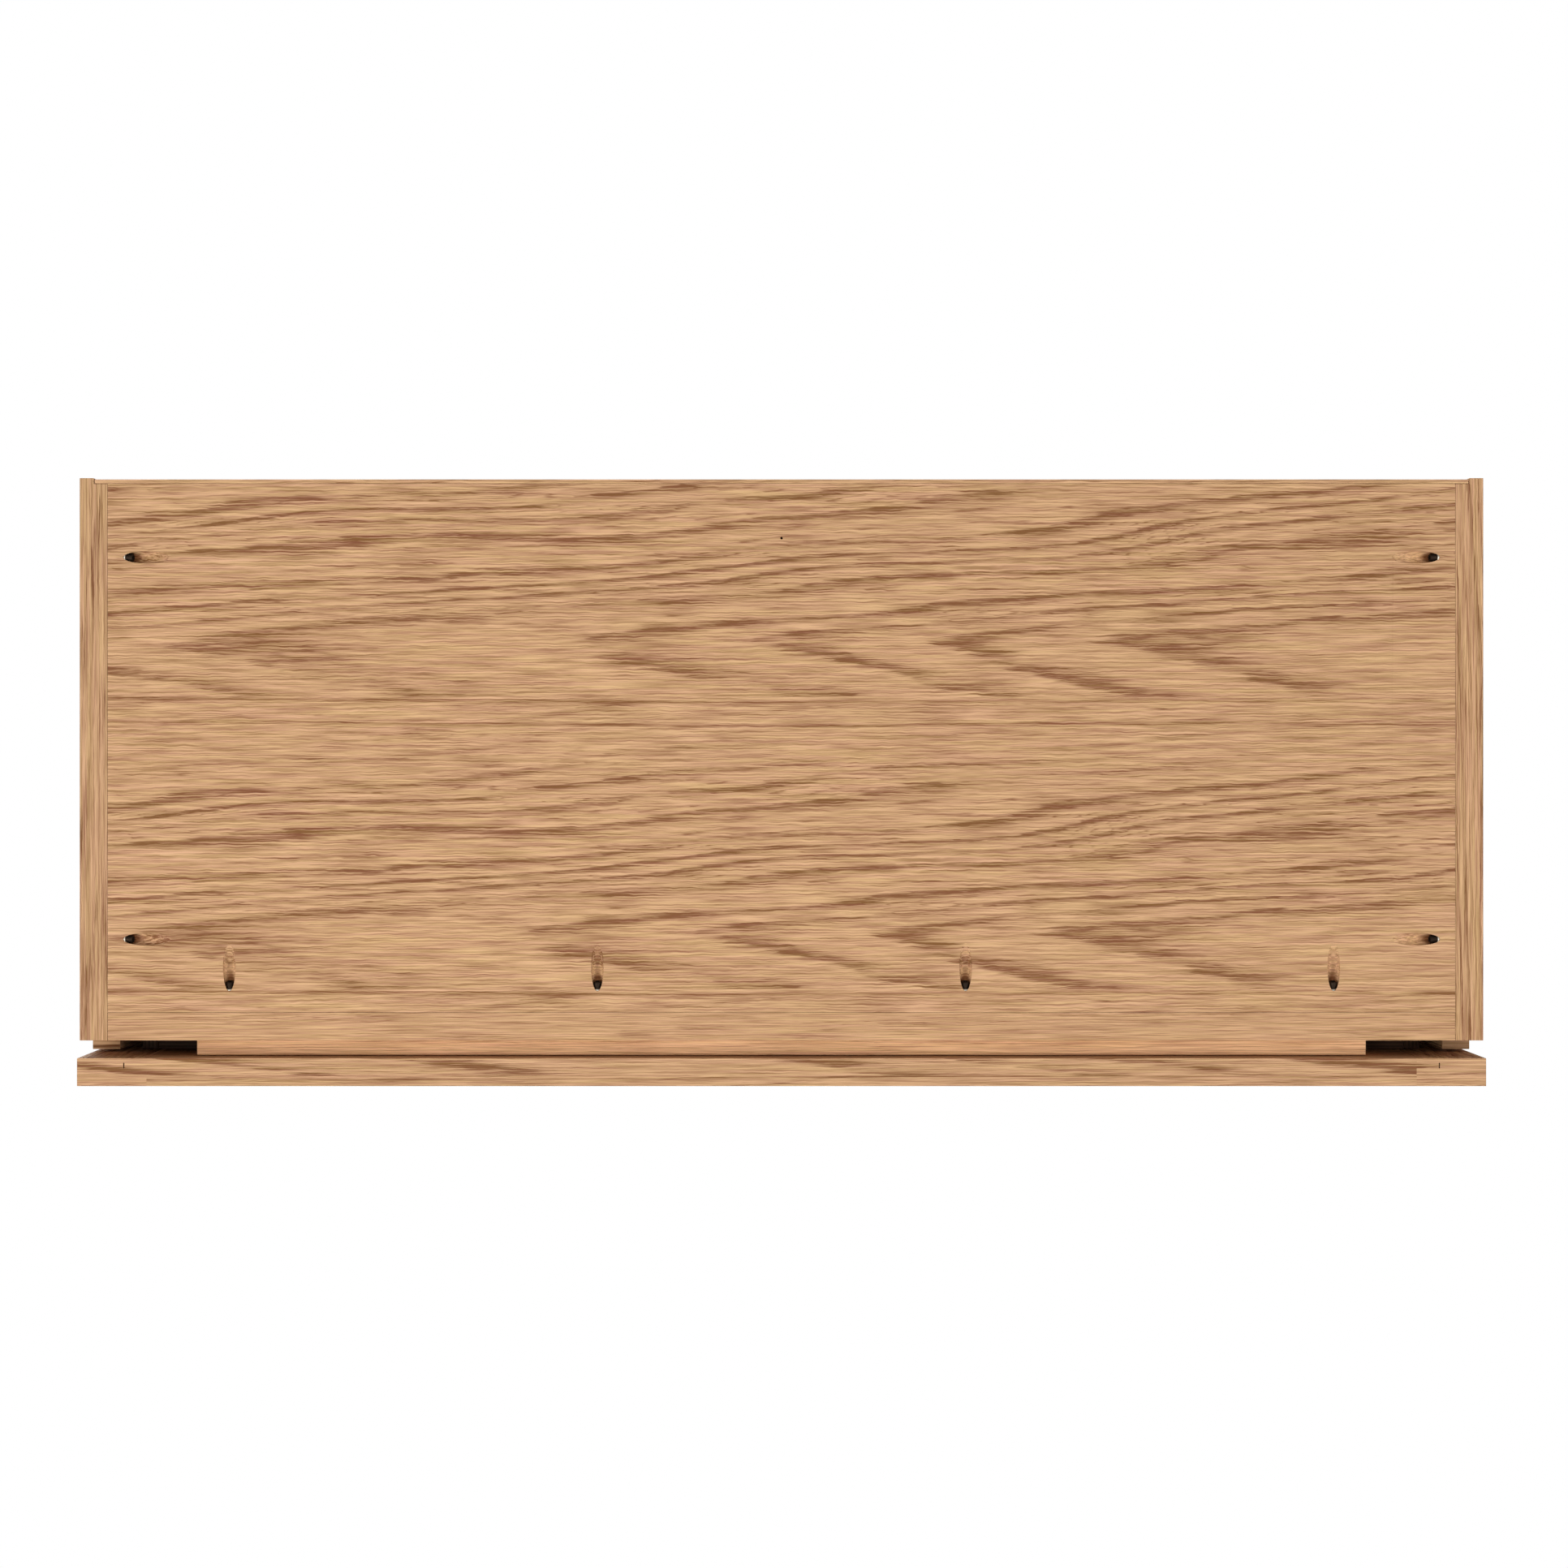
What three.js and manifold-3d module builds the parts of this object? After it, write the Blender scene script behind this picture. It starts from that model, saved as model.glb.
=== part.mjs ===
// Wall-hung media cabinet in oak: an open bay for players and consoles over one full-width drawer.
// It is made of 21 mm boards joined with pocket screws and dowels. The framed drawer front is gripped
// from below, in the two gaps that the grip batten leaves at its ends, and runs on ball-bearing runners.
//
// Shop coordinates, in mm: X to the right seen from the front, Y towards the wall, Z up. Y = 0 is the
// wall and Z = 0 is the underside of the carcass. The last lines move the origin to the hanging line.

import * as THREE from "three";
import { mergeVertices } from "three/addons/utils/BufferGeometryUtils.js";
import Module from "manifold-3d";

const wasm = await Module();
wasm.setup();

// ---- Driving dimensions ----

const GAP = 0.3; // air in every joint between two pieces
const BOARD = 21;
const WIDTH = 1062;
const SIDE_DEPTH = 436;
const SIDE_HEIGHT = 385;
const FRONT_BACK_Y = -438.1; // back plane of the drawer front
const FRONT_BOTTOM = -10; // the drawer front hangs this far below the carcass
const FRONT_TOP = 204;
const SHELF_Z = 185; // underside of the bay shelf
const HANG_Z = 345; // height of the hanging line

// Bottom rail and finger grips
const NOTCH_DEPTH = 10.5;
const RAIL_HEIGHT = 49;
const BATTEN_LENGTH = 887;
const BATTEN_LIFT = 8; // the batten stops this far above the underside
const BATTEN_EASE = 2;

// Back panel and its rabbet in the sides
const BACK_INSET = 1;
const BACK_THICKNESS = 3;
const RABBET_WIDTH = 10.3;
const BACK_END_GAP = 0.6;
const HANG_RAIL_HEIGHT = 79;
const LOWER_RAIL_HEIGHT = 50;
const GROMMET_X = 300;
const GROMMET_Z = 255;
const GROMMET_HOLE_R = 30;

// Pocket joints: a 9.5 mm bore at 15 degrees to the face, then a pilot for the screw
const POCKET_ANGLE = THREE.MathUtils.degToRad(15);
const POCKET_R = 4.75;
const POCKET_SHOULDER = 18; // along the bore, from where its axis meets the face
const POCKET_RUN_OUT = 22;
const SIDE_POCKET_TIP = 11.9; // from the mouth's outer tip to the joint
const RAIL_POCKET_TIP = 16.3;
const SCREW_HEAD_R = 3;
const SCREW_HEAD = 5;
const SCREW_WASHER_R = 4.4;
const SCREW_WASHER = 1.2;
const SCREW_SHANK_R = 1.9;
const SCREW_SHANK = 29;
const PILOT_CLEARANCE = 0.4;
const SIDE_POCKET_Y = [-348.9, -59.9];
const SHELF_POCKET_Y = [-380, -60];
const RAIL_POCKET_X = [-417.8, -139.3, 139.3, 417.8];
const PILOT_MARK = { x: 0, y: -45.4, r: 0.65, depth: 6 };

// Dowels between the sides and the top slab
const DOWEL_R = 4;
const DOWEL_LENGTH = 29;
const DOWEL_Y = [-400, -230, -60];

// Framed drawer front
const STILE_WIDTH = 52.3;
const GROOVE_BACK = 3.2; // from the back face to the groove
const GROOVE_WIDTH = 4.6;
const STILE_GROOVE = 17.6;
const RAIL_GROOVE = 12.6;
const TONGUE_END_GAP = 1.2;
const FIELD_THICKNESS = 14;

// Drawer box
const BOX_LENGTH = 400;
const BOX_BOTTOM = 72;
const BOX_TOP = 172;
const BOX_WALL = 12;
const BOX_GROOVE = 6;
const BOX_FLOOR_Z = 82;
const BOX_FLOOR = 6;
const FIXING_X = [-420, -140, 140, 420];
const FIXING_SHANK = 22;
const FIXING_HEAD = 1.8;
const BUMPER_R = 4;
const BUMPER_Z = 190;

// Ball-bearing runners, each 12.7 mm thick and 400 mm long
const RUNNER_LENGTH = 400;
const RUNNER_THICKNESS = 12.7;
const RUNNER_Y = -233;
const RUNNER_Z = 122;
const CAGE_LENGTH = 190;

// ---- Worked-out planes ----

const HALF = WIDTH / 2;
const INNER = HALF - BOARD; // inner face of each side
const FIT = INNER - GAP; // end of every board between the sides
const BACK_FRONT_Y = -BACK_INSET - BACK_THICKNESS;
const INSIDE_Y = BACK_FRONT_Y - GAP; // rear edge of the boards in front of the back panel
const RAIL_FRONT_Y = NOTCH_DEPTH - SIDE_DEPTH;
const RAIL_BACK_Y = RAIL_FRONT_Y + BOARD;
const FRONT_FACE_Y = FRONT_BACK_Y - BOARD;
const FRONT_Y = [FRONT_FACE_Y, FRONT_BACK_Y];
const SHELF_TOP = SHELF_Z + BOARD;
const TOP_Z = SIDE_HEIGHT + GAP;
const BOX_HALF = INNER - RUNNER_THICKNESS - 2 * GAP;
const BOX_INNER = BOX_HALF - BOX_WALL;
const BOX_FRONT_Y = FRONT_BACK_Y + GAP;
const BOX_BACK_Y = BOX_FRONT_Y + BOX_LENGTH;
const STILE_INNER = HALF - STILE_WIDTH;
const FIELD_BOTTOM = FRONT_BOTTOM + STILE_WIDTH + GAP;
const FIELD_TOP = FRONT_TOP - STILE_WIDTH - GAP;
const GROOVE_Y = [FRONT_BACK_Y - GROOVE_BACK - GROOVE_WIDTH, FRONT_BACK_Y - GROOVE_BACK];
const TONGUE_Y = [GROOVE_Y[0] + GAP, GROOVE_Y[1] - GAP];

// ---- Materials ----

const finish = (color, roughness, metalness) =>
  new THREE.MeshStandardMaterial({ color, roughness, metalness });
const oak = () => finish(0xbf956e, 0.55, 0);
const plywood = () => finish(0x5b4735, 0.7, 0);
const beech = () => finish(0xc9a27a, 0.7, 0);
const steel = () => finish(0xb9bcc0, 0.35, 1);
const darkSteel = () => finish(0x4e4842, 0.42, 1);
const blackPlastic = () => finish(0x1c1c1d, 0.5, 0);
const clearRubber = () => finish(0xd8d6cf, 0.6, 0);

// ---- Tools for making solids ----

// A box between two values on each axis, given in either order.
function span(xs, ys, zs) {
  const sizes = [xs, ys, zs].map(([a, b]) => Math.abs(b - a));
  const middles = [xs, ys, zs].map(([a, b]) => (a + b) / 2);
  return new THREE.BoxGeometry(...sizes).translate(...middles);
}

// An upright rod from one height to another.
function rod(radius, x, y, low, high, sides = 16) {
  const geometry = new THREE.CylinderGeometry(radius, radius, high - low, sides);
  return geometry.rotateX(Math.PI / 2).translate(x, y, (low + high) / 2);
}

// A closed geometry as a solid that can be cut and joined.
function solid(geometry) {
  const bare = geometry.clone();
  bare.deleteAttribute("normal");
  bare.deleteAttribute("uv");
  const merged = mergeVertices(bare, 1e-4);
  return new wasm.Manifold(
    new wasm.Mesh({
      numProp: 3,
      vertProperties: new Float32Array(merged.attributes.position.array),
      triVerts: new Uint32Array(merged.index.array),
    }),
  );
}

function toGeometry(body) {
  const mesh = body.getMesh();
  const geometry = new THREE.BufferGeometry();
  geometry.setAttribute("position", new THREE.BufferAttribute(mesh.vertProperties, 3));
  geometry.setIndex(new THREE.BufferAttribute(mesh.triVerts, 1));
  geometry.computeVertexNormals();
  return geometry;
}

const cut = (geometry, cutters) =>
  toGeometry(cutters.reduce((body, cutter) => body.subtract(solid(cutter)), solid(geometry)));

const joined = (geometries) => toGeometry(geometries.map(solid).reduce((body, next) => body.add(next)));

const shop = new THREE.Group();

function add(name, geometry, material) {
  const mesh = new THREE.Mesh(geometry, material);
  mesh.name = name;
  shop.add(mesh);
  return mesh;
}

const SIDES = [
  ["left", -1],
  ["right", 1],
];

// ---- Pocket joints ----

// The frame of one pocket: its local +Y runs down the bore, from where the axis meets the board's face.
function pocketFrame(x, y, z, heading) {
  const along = heading.clone().multiplyScalar(Math.cos(POCKET_ANGLE));
  along.z = Math.sin(POCKET_ANGLE);
  const turn = new THREE.Quaternion().setFromUnitVectors(new THREE.Vector3(0, 1, 0), along);
  return new THREE.Matrix4().compose(new THREE.Vector3(x, y, z), turn, new THREE.Vector3(1, 1, 1));
}

// How far the axis meets the face behind the joint, when the mouth's tip is so far from it.
const mouthSetback = (tip) => tip + POCKET_R / Math.sin(POCKET_ANGLE);

function sidePockets(z, places) {
  const x = INNER - mouthSetback(SIDE_POCKET_TIP);
  return SIDES.flatMap(([, sign]) =>
    places.map((y) => pocketFrame(sign * x, y, z, new THREE.Vector3(sign, 0, 0))),
  );
}

function railPockets() {
  const y = RAIL_BACK_Y + mouthSetback(RAIL_POCKET_TIP);
  return RAIL_POCKET_X.map((x) => pocketFrame(x, y, 0, new THREE.Vector3(0, -1, 0)));
}

// The bore that holds the screw's head, and the pilot for its shank.
function pocketCutters(frame) {
  const boreLength = POCKET_SHOULDER + POCKET_RUN_OUT;
  const bore = new THREE.CylinderGeometry(POCKET_R, POCKET_R, boreLength, 24);
  bore.translate(0, POCKET_SHOULDER - boreLength / 2, 0);
  const pilotR = SCREW_SHANK_R + PILOT_CLEARANCE;
  const pilotLength = SCREW_SHANK + 2 * GAP + PILOT_CLEARANCE;
  const pilot = new THREE.CylinderGeometry(pilotR, pilotR, pilotLength, 12);
  pilot.translate(0, POCKET_SHOULDER - GAP + pilotLength / 2, 0);
  return [bore.applyMatrix4(frame), pilot.applyMatrix4(frame)];
}

// A pan-head screw on a fixed washer, turned about its own axis: the washer's seat is at Y = 0.
function screwGeometry(head, shank) {
  const seat = head + SCREW_WASHER;
  const profile = [
    [0, -seat],
    [SCREW_HEAD_R - 0.9, -seat],
    [SCREW_HEAD_R, 0.9 - seat],
    [SCREW_HEAD_R, -SCREW_WASHER],
    [SCREW_WASHER_R, -SCREW_WASHER],
    [SCREW_WASHER_R, 0],
    [SCREW_SHANK_R, 0],
    [SCREW_SHANK_R, shank - 4],
    [0, shank],
  ];
  return new THREE.LatheGeometry(profile.map(([r, h]) => new THREE.Vector2(r, h)), 12);
}

function addPocketScrews(prefix, frames) {
  frames.forEach((frame, index) => {
    const screw = screwGeometry(SCREW_HEAD, SCREW_SHANK).translate(0, POCKET_SHOULDER - GAP, 0);
    add(`${prefix}_${index + 1}`, screw, darkSteel()).applyMatrix4(frame);
  });
}

const bottomSidePockets = sidePockets(0, SIDE_POCKET_Y);
const bottomRailPockets = railPockets();
const shelfPockets = sidePockets(SHELF_Z, SHELF_POCKET_Y);

// ---- Carcass ----

function dowelHoles(sign) {
  const [low, high] = [TOP_Z - 18.5, TOP_Z + 12];
  return DOWEL_Y.map((y) => rod(DOWEL_R + GAP, sign * (HALF - BOARD / 2), y, low, high));
}

function addSide(name, sign) {
  const past = 1;
  const panel = span([sign * INNER, sign * HALF], [-SIDE_DEPTH, 0], [0, SIDE_HEIGHT]);
  const across = [sign * (INNER - past), sign * (HALF + past)];
  const notch = span(across, [-SIDE_DEPTH - past, RAIL_FRONT_Y], [-past, RAIL_HEIGHT]);
  const rabbetX = [sign * (INNER - past), sign * (INNER + RABBET_WIDTH)];
  const rabbet = span(rabbetX, [INSIDE_Y, past], [-past, SIDE_HEIGHT + past]);
  const screwHoles = [...bottomSidePockets, ...shelfPockets].map((frame) => pocketCutters(frame)[1]);
  add(`side_${name}`, cut(panel, [notch, rabbet, ...screwHoles, ...dowelHoles(sign)]), oak());
}

SIDES.forEach(([name, sign]) => addSide(name, sign));

const bottomPanel = span([-FIT, FIT], [RAIL_BACK_Y + GAP, INSIDE_Y], [0, BOARD]);
const pilotMark = rod(PILOT_MARK.r, PILOT_MARK.x, PILOT_MARK.y, -1, PILOT_MARK.depth, 10);
const bottomCutters = [...bottomSidePockets, ...bottomRailPockets].flatMap(pocketCutters);
add("bottom_panel", cut(bottomPanel, [...bottomCutters, pilotMark]), oak());

const frontRail = span([-FIT, FIT], [RAIL_FRONT_Y, RAIL_BACK_Y], [0, RAIL_HEIGHT]);
add("front_rail", cut(frontRail, bottomRailPockets.map((frame) => pocketCutters(frame)[1])), oak());

// The batten fills the gap between the rail and the drawer front, with its lower front edge rounded over.
function battenGeometry() {
  const thickness = RAIL_FRONT_Y - GAP - (FRONT_BACK_Y + 2 * GAP);
  const height = RAIL_HEIGHT - BATTEN_LIFT;
  const section = new THREE.Shape();
  section.moveTo(0, 0);
  section.lineTo(thickness - BATTEN_EASE, 0);
  section.absarc(thickness - BATTEN_EASE, BATTEN_EASE, BATTEN_EASE, -Math.PI / 2, 0, false);
  section.lineTo(thickness, height);
  section.lineTo(0, height);
  section.closePath();
  const sweep = { depth: BATTEN_LENGTH, bevelEnabled: false, curveSegments: 4 };
  const batten = new THREE.ExtrudeGeometry(section, sweep);
  const frame = new THREE.Matrix4().makeBasis(
    new THREE.Vector3(0, -1, 0),
    new THREE.Vector3(0, 0, 1),
    new THREE.Vector3(-1, 0, 0),
  );
  frame.setPosition(BATTEN_LENGTH / 2, RAIL_FRONT_Y - GAP, BATTEN_LIFT);
  return batten.applyMatrix4(frame);
}

add("grip_batten", battenGeometry(), oak());

const topSlab = span([-HALF, HALF], [FRONT_FACE_Y, 0], [TOP_Z, TOP_Z + BOARD]);
add("top_slab", cut(topSlab, SIDES.flatMap(([, sign]) => dowelHoles(sign))), oak());

const bayShelf = span([-FIT, FIT], [-SIDE_DEPTH, INSIDE_Y], [SHELF_Z, SHELF_TOP]);
add("bay_shelf", cut(bayShelf, shelfPockets.flatMap(pocketCutters)), oak());

const backHalf = INNER + RABBET_WIDTH - BACK_END_GAP;
const backPanel = span([-backHalf, backHalf], [BACK_FRONT_Y, -BACK_INSET], [0, SIDE_HEIGHT]);
const cableHoles = SIDES.map(([, sign]) => {
  const hole = new THREE.CylinderGeometry(GROMMET_HOLE_R, GROMMET_HOLE_R, 20, 32);
  return hole.translate(sign * GROMMET_X, 0, GROMMET_Z);
});
add("back_panel", cut(backPanel, cableHoles), oak());

const hangY = [INSIDE_Y - BOARD, INSIDE_Y];
const upperZ = [SIDE_HEIGHT - HANG_RAIL_HEIGHT, SIDE_HEIGHT];
add("hanging_rail_upper", span([-FIT, FIT], hangY, upperZ), oak());
const lowerZ = [BOARD + GAP, BOARD + GAP + LOWER_RAIL_HEIGHT];
add("hanging_rail_lower", span([-FIT, FIT], hangY, lowerZ), oak());

addPocketScrews("bottom_screw", [...bottomSidePockets, ...bottomRailPockets]);
addPocketScrews("shelf_screw", shelfPockets);

for (const [name, sign] of SIDES) {
  DOWEL_Y.forEach((y, index) => {
    const low = TOP_Z - 18;
    const dowel = rod(DOWEL_R, sign * (HALF - BOARD / 2), y, low, low + DOWEL_LENGTH);
    add(`top_dowel_${name}_${index + 1}`, dowel, beech());
  });
}

// A cable grommet: a sleeve through the back panel and a low flange on the bay side.
function grommetGeometry() {
  const sleeveR = GROMMET_HOLE_R - GAP;
  const boreR = 25;
  const flangeR = 35;
  const seat = BACK_THICKNESS + GAP;
  const profile = [
    [boreR, 0],
    [sleeveR, 0],
    [sleeveR, seat],
    [flangeR, seat],
    [flangeR - 0.8, seat + 1.7],
    [boreR + 0.6, seat + 1.7],
    [boreR, seat + 1.1],
    [boreR, 0],
  ];
  return new THREE.LatheGeometry(profile.map(([r, h]) => new THREE.Vector2(r, h)), 32);
}

for (const [name, sign] of SIDES) {
  const grommet = add(`cable_grommet_${name}`, grommetGeometry(), blackPlastic());
  grommet.position.set(sign * GROMMET_X, -BACK_INSET, GROMMET_Z);
  grommet.rotation.x = Math.PI;
}

// ---- Drawer front: two stiles, two rails and a rebated field panel, on stub tongues ----

function addStile(name, sign) {
  const stile = span([sign * STILE_INNER, sign * HALF], FRONT_Y, [FRONT_BOTTOM, FRONT_TOP]);
  const grooveX = [sign * (STILE_INNER - 1), sign * (STILE_INNER + STILE_GROOVE)];
  const groove = span(grooveX, GROOVE_Y, [FRONT_BOTTOM - 1, FRONT_TOP + 1]);
  add(`front_stile_${name}`, cut(stile, [groove]), oak());
}

SIDES.forEach(([name, sign]) => addStile(name, sign));

function addFrontRail(name, low, grooveLow, grooveHigh) {
  const body = span([GAP - STILE_INNER, STILE_INNER - GAP], FRONT_Y, [low, low + STILE_WIDTH]);
  const reach = STILE_INNER + STILE_GROOVE - TONGUE_END_GAP;
  const tongue = span([-reach, reach], TONGUE_Y, [low, low + STILE_WIDTH]);
  const groove = span([-HALF, HALF], GROOVE_Y, [grooveLow, grooveHigh]);
  add(`front_rail_${name}`, cut(joined([body, tongue]), [groove]), oak());
}

addFrontRail("bottom", FRONT_BOTTOM, FRONT_BOTTOM + STILE_WIDTH - RAIL_GROOVE, FIELD_BOTTOM + 1);
addFrontRail("top", FRONT_TOP - STILE_WIDTH, FIELD_TOP - 1, FRONT_TOP - STILE_WIDTH + RAIL_GROOVE);

const fieldHalf = STILE_INNER - GAP;
const fieldReach = RAIL_GROOVE - GAP;
const fieldY = [FRONT_BACK_Y - FIELD_THICKNESS, FRONT_BACK_Y];
const field = span([-fieldHalf, fieldHalf], fieldY, [FIELD_BOTTOM, FIELD_TOP]);
const fieldTongue = span(
  [-fieldHalf - fieldReach, fieldHalf + fieldReach],
  TONGUE_Y,
  [FIELD_BOTTOM - fieldReach + GAP, FIELD_TOP + fieldReach - GAP],
);

// Screws from inside the drawer box hold the front by its field panel.
function fixingHole(x) {
  const radius = SCREW_SHANK_R + PILOT_CLEARANCE;
  const length = FIXING_SHANK + PILOT_CLEARANCE;
  const hole = new THREE.CylinderGeometry(radius, radius, length, 12);
  return hole.translate(x, BOX_FRONT_Y + BOX_WALL + GAP - length / 2, RUNNER_Z);
}

add("front_field", cut(joined([field, fieldTongue]), FIXING_X.map(fixingHole)), oak());

// ---- Drawer box ----

const floorZ = [BOX_FLOOR_Z, BOX_FLOOR_Z + BOX_FLOOR];
const floorGroove = [
  [-BOX_INNER - BOX_GROOVE, BOX_INNER + BOX_GROOVE],
  [BOX_FRONT_Y + BOX_WALL - BOX_GROOVE, BOX_BACK_Y - BOX_WALL + BOX_GROOVE],
  [floorZ[0] - GAP, floorZ[1] + GAP],
];
const boxZ = [BOX_BOTTOM, BOX_TOP];

for (const [name, sign] of SIDES) {
  const wall = span([sign * BOX_INNER, sign * BOX_HALF], [BOX_FRONT_Y, BOX_BACK_Y], boxZ);
  add(`box_side_${name}`, cut(wall, [span(...floorGroove)]), plywood());
}

const boxEnd = BOX_INNER - GAP;
const boxFront = span([-boxEnd, boxEnd], [BOX_FRONT_Y, BOX_FRONT_Y + BOX_WALL], boxZ);
add("box_front", cut(boxFront, [span(...floorGroove), ...FIXING_X.map(fixingHole)]), plywood());
const boxBack = span([-boxEnd, boxEnd], [BOX_BACK_Y - BOX_WALL, BOX_BACK_Y], boxZ);
add("box_back", cut(boxBack, [span(...floorGroove)]), plywood());

const floorX = BOX_INNER + BOX_GROOVE - GAP;
const floorY = [floorGroove[1][0] + GAP, floorGroove[1][1] - GAP];
add("box_floor", span([-floorX, floorX], floorY, floorZ), plywood());

FIXING_X.forEach((x, index) => {
  const shape = screwGeometry(FIXING_HEAD, FIXING_SHANK);
  const screw = add(`front_fixing_screw_${index + 1}`, shape, darkSteel());
  screw.position.set(x, BOX_FRONT_Y + BOX_WALL + GAP, RUNNER_Z);
  screw.rotation.x = Math.PI;
});

// Two pads that meet the front edges of the sides when the drawer shuts.
for (const [name, sign] of SIDES) {
  const room = -SIDE_DEPTH - FRONT_BACK_Y;
  const pad = new THREE.CylinderGeometry(BUMPER_R, BUMPER_R, room - 2 * GAP, 20);
  pad.translate(sign * (HALF - BOARD / 2), FRONT_BACK_Y + room / 2, BUMPER_Z);
  add(`bumper_${name}`, pad, clearRubber());
}

// ---- Runners: three nested channels with a ball cage between each two ----

// A channel that opens towards +X, with rounded bends: back plane at X = near, lips at X = far.
function channelGeometry({ near, far, half, wall, length }) {
  const bend = 2 * wall;
  const centre = [near + bend, half - bend];
  const turn = Math.PI / 2;
  const section = new THREE.Shape();
  section.moveTo(far, -half);
  section.lineTo(far, -half + wall);
  section.absarc(centre[0], -centre[1], bend - wall, -turn, -2 * turn, true);
  section.absarc(centre[0], centre[1], bend - wall, 2 * turn, turn, true);
  section.lineTo(far, half - wall);
  section.lineTo(far, half);
  section.absarc(centre[0], centre[1], bend, turn, 2 * turn, false);
  section.absarc(centre[0], -centre[1], bend, 2 * turn, 3 * turn, false);
  section.closePath();
  const sweep = { depth: length, bevelEnabled: false, curveSegments: 3 };
  return new THREE.ExtrudeGeometry(section, sweep).translate(0, 0, -length / 2);
}

const CHANNELS = {
  runner_cabinet: { near: 0.3, far: 10.6, half: 22.8, wall: 1.2, length: RUNNER_LENGTH },
  ball_cage_outer: { near: 1.85, far: 9.4, half: 20.5, wall: 0.7, length: CAGE_LENGTH },
  runner_middle: { near: 2.9, far: 11.1, half: 18.6, wall: 1.2, length: RUNNER_LENGTH },
  ball_cage_inner: { near: 4.4, far: 10.2, half: 16.3, wall: 0.5, length: CAGE_LENGTH },
};
const DRAWER_CHANNEL = { near: 0, far: 7.8, half: 14.4, wall: 1.2, length: RUNNER_LENGTH };

// Local X runs from the side panel's inner face towards the drawer, and local Y is up.
function runnerFrame(sign) {
  const frame = new THREE.Matrix4().makeBasis(
    new THREE.Vector3(-sign, 0, 0),
    new THREE.Vector3(0, 0, 1),
    new THREE.Vector3(0, sign, 0),
  );
  return frame.setPosition(sign * INNER, RUNNER_Y, RUNNER_Z);
}

for (const [name, sign] of SIDES) {
  for (const [piece, channel] of Object.entries(CHANNELS)) {
    add(`${piece}_${name}`, channelGeometry(channel), steel()).applyMatrix4(runnerFrame(sign));
  }
  const drawerChannel = channelGeometry(DRAWER_CHANNEL).rotateZ(Math.PI);
  drawerChannel.translate(RUNNER_THICKNESS + GAP, 0, 0);
  add(`runner_drawer_${name}`, drawerChannel, steel()).applyMatrix4(runnerFrame(sign));
}

// ---- The cabinet in its own frame: the origin is on the back panel's rear face, on the hanging line ----

shop.position.set(0, BACK_INSET, -HANG_Z);
const cabinet = new THREE.Group();
cabinet.add(shop);

export default cabinet;
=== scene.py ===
# %% [markdown]
# # A wall-hung media cabinet in oak
#
# This lesson dresses a imported CAD model. The CAD holds every size, joint and screw place, so nothing here
# is measured twice: each piece reads its place from the frame, gets an eased and finished mesh, and then a
# procedural material. The cabinet hangs on a wall, and the camera looks at its underside from below.
#
# The first cell reads the frame and keeps the CAD's outer box, whose middle the last cell aims the lamps at.

# %% Load the frame
import math

import bmesh
import bpy
from mathutils import Matrix, Vector


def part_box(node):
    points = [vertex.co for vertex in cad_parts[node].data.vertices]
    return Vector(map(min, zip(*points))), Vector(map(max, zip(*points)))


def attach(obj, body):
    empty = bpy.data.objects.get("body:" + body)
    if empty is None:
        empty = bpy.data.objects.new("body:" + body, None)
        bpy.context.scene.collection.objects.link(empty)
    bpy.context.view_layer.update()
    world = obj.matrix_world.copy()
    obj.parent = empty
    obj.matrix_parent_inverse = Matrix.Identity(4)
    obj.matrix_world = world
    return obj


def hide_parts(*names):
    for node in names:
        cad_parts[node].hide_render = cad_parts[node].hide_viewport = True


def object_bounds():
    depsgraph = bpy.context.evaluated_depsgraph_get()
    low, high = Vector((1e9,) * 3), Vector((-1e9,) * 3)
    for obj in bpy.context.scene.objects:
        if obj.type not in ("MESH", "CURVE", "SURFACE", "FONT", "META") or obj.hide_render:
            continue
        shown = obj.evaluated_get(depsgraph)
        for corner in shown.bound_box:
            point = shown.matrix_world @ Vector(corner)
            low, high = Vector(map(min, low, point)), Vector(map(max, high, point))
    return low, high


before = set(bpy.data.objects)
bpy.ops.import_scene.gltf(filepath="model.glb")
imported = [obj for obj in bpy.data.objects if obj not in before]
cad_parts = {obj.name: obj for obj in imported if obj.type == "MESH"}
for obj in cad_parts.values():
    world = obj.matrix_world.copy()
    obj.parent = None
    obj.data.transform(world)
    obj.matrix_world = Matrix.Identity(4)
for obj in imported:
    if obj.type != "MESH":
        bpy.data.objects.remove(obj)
cad_lo, cad_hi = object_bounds()
SIDES = (("left", -1), ("right", 1))
MM = 0.001
print("CAD box:", [round(v, 4) for v in (*cad_lo, *cad_hi)])

# %% [markdown]
# ## The camera
#
# A cabinet's underside is drawn best by a camera that looks straight up, with its sensor parallel to the
# boards, because then every edge stays straight and parallel. The camera could be tilted to centre the
# cabinet, but that would make the boards converge, so the picture is moved with a small lens shift instead.
# The wall side is at the top of the picture.

# %% Camera
underside_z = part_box("bottom_panel")[0].z
wall_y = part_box("side_left")[1].y
CAMERA_DISTANCE = 2.490  # from the underside
CAMERA_SIDE = 0.0153
CAMERA_FROM_WALL = 0.2299
FRAME_WIDTH = 1.1863  # what the picture spans at the underside
LENS_SHIFT = (0.0145, -0.0013)  # parts of the picture's width
SENSOR = 36.0
FAR = 50.0

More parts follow.
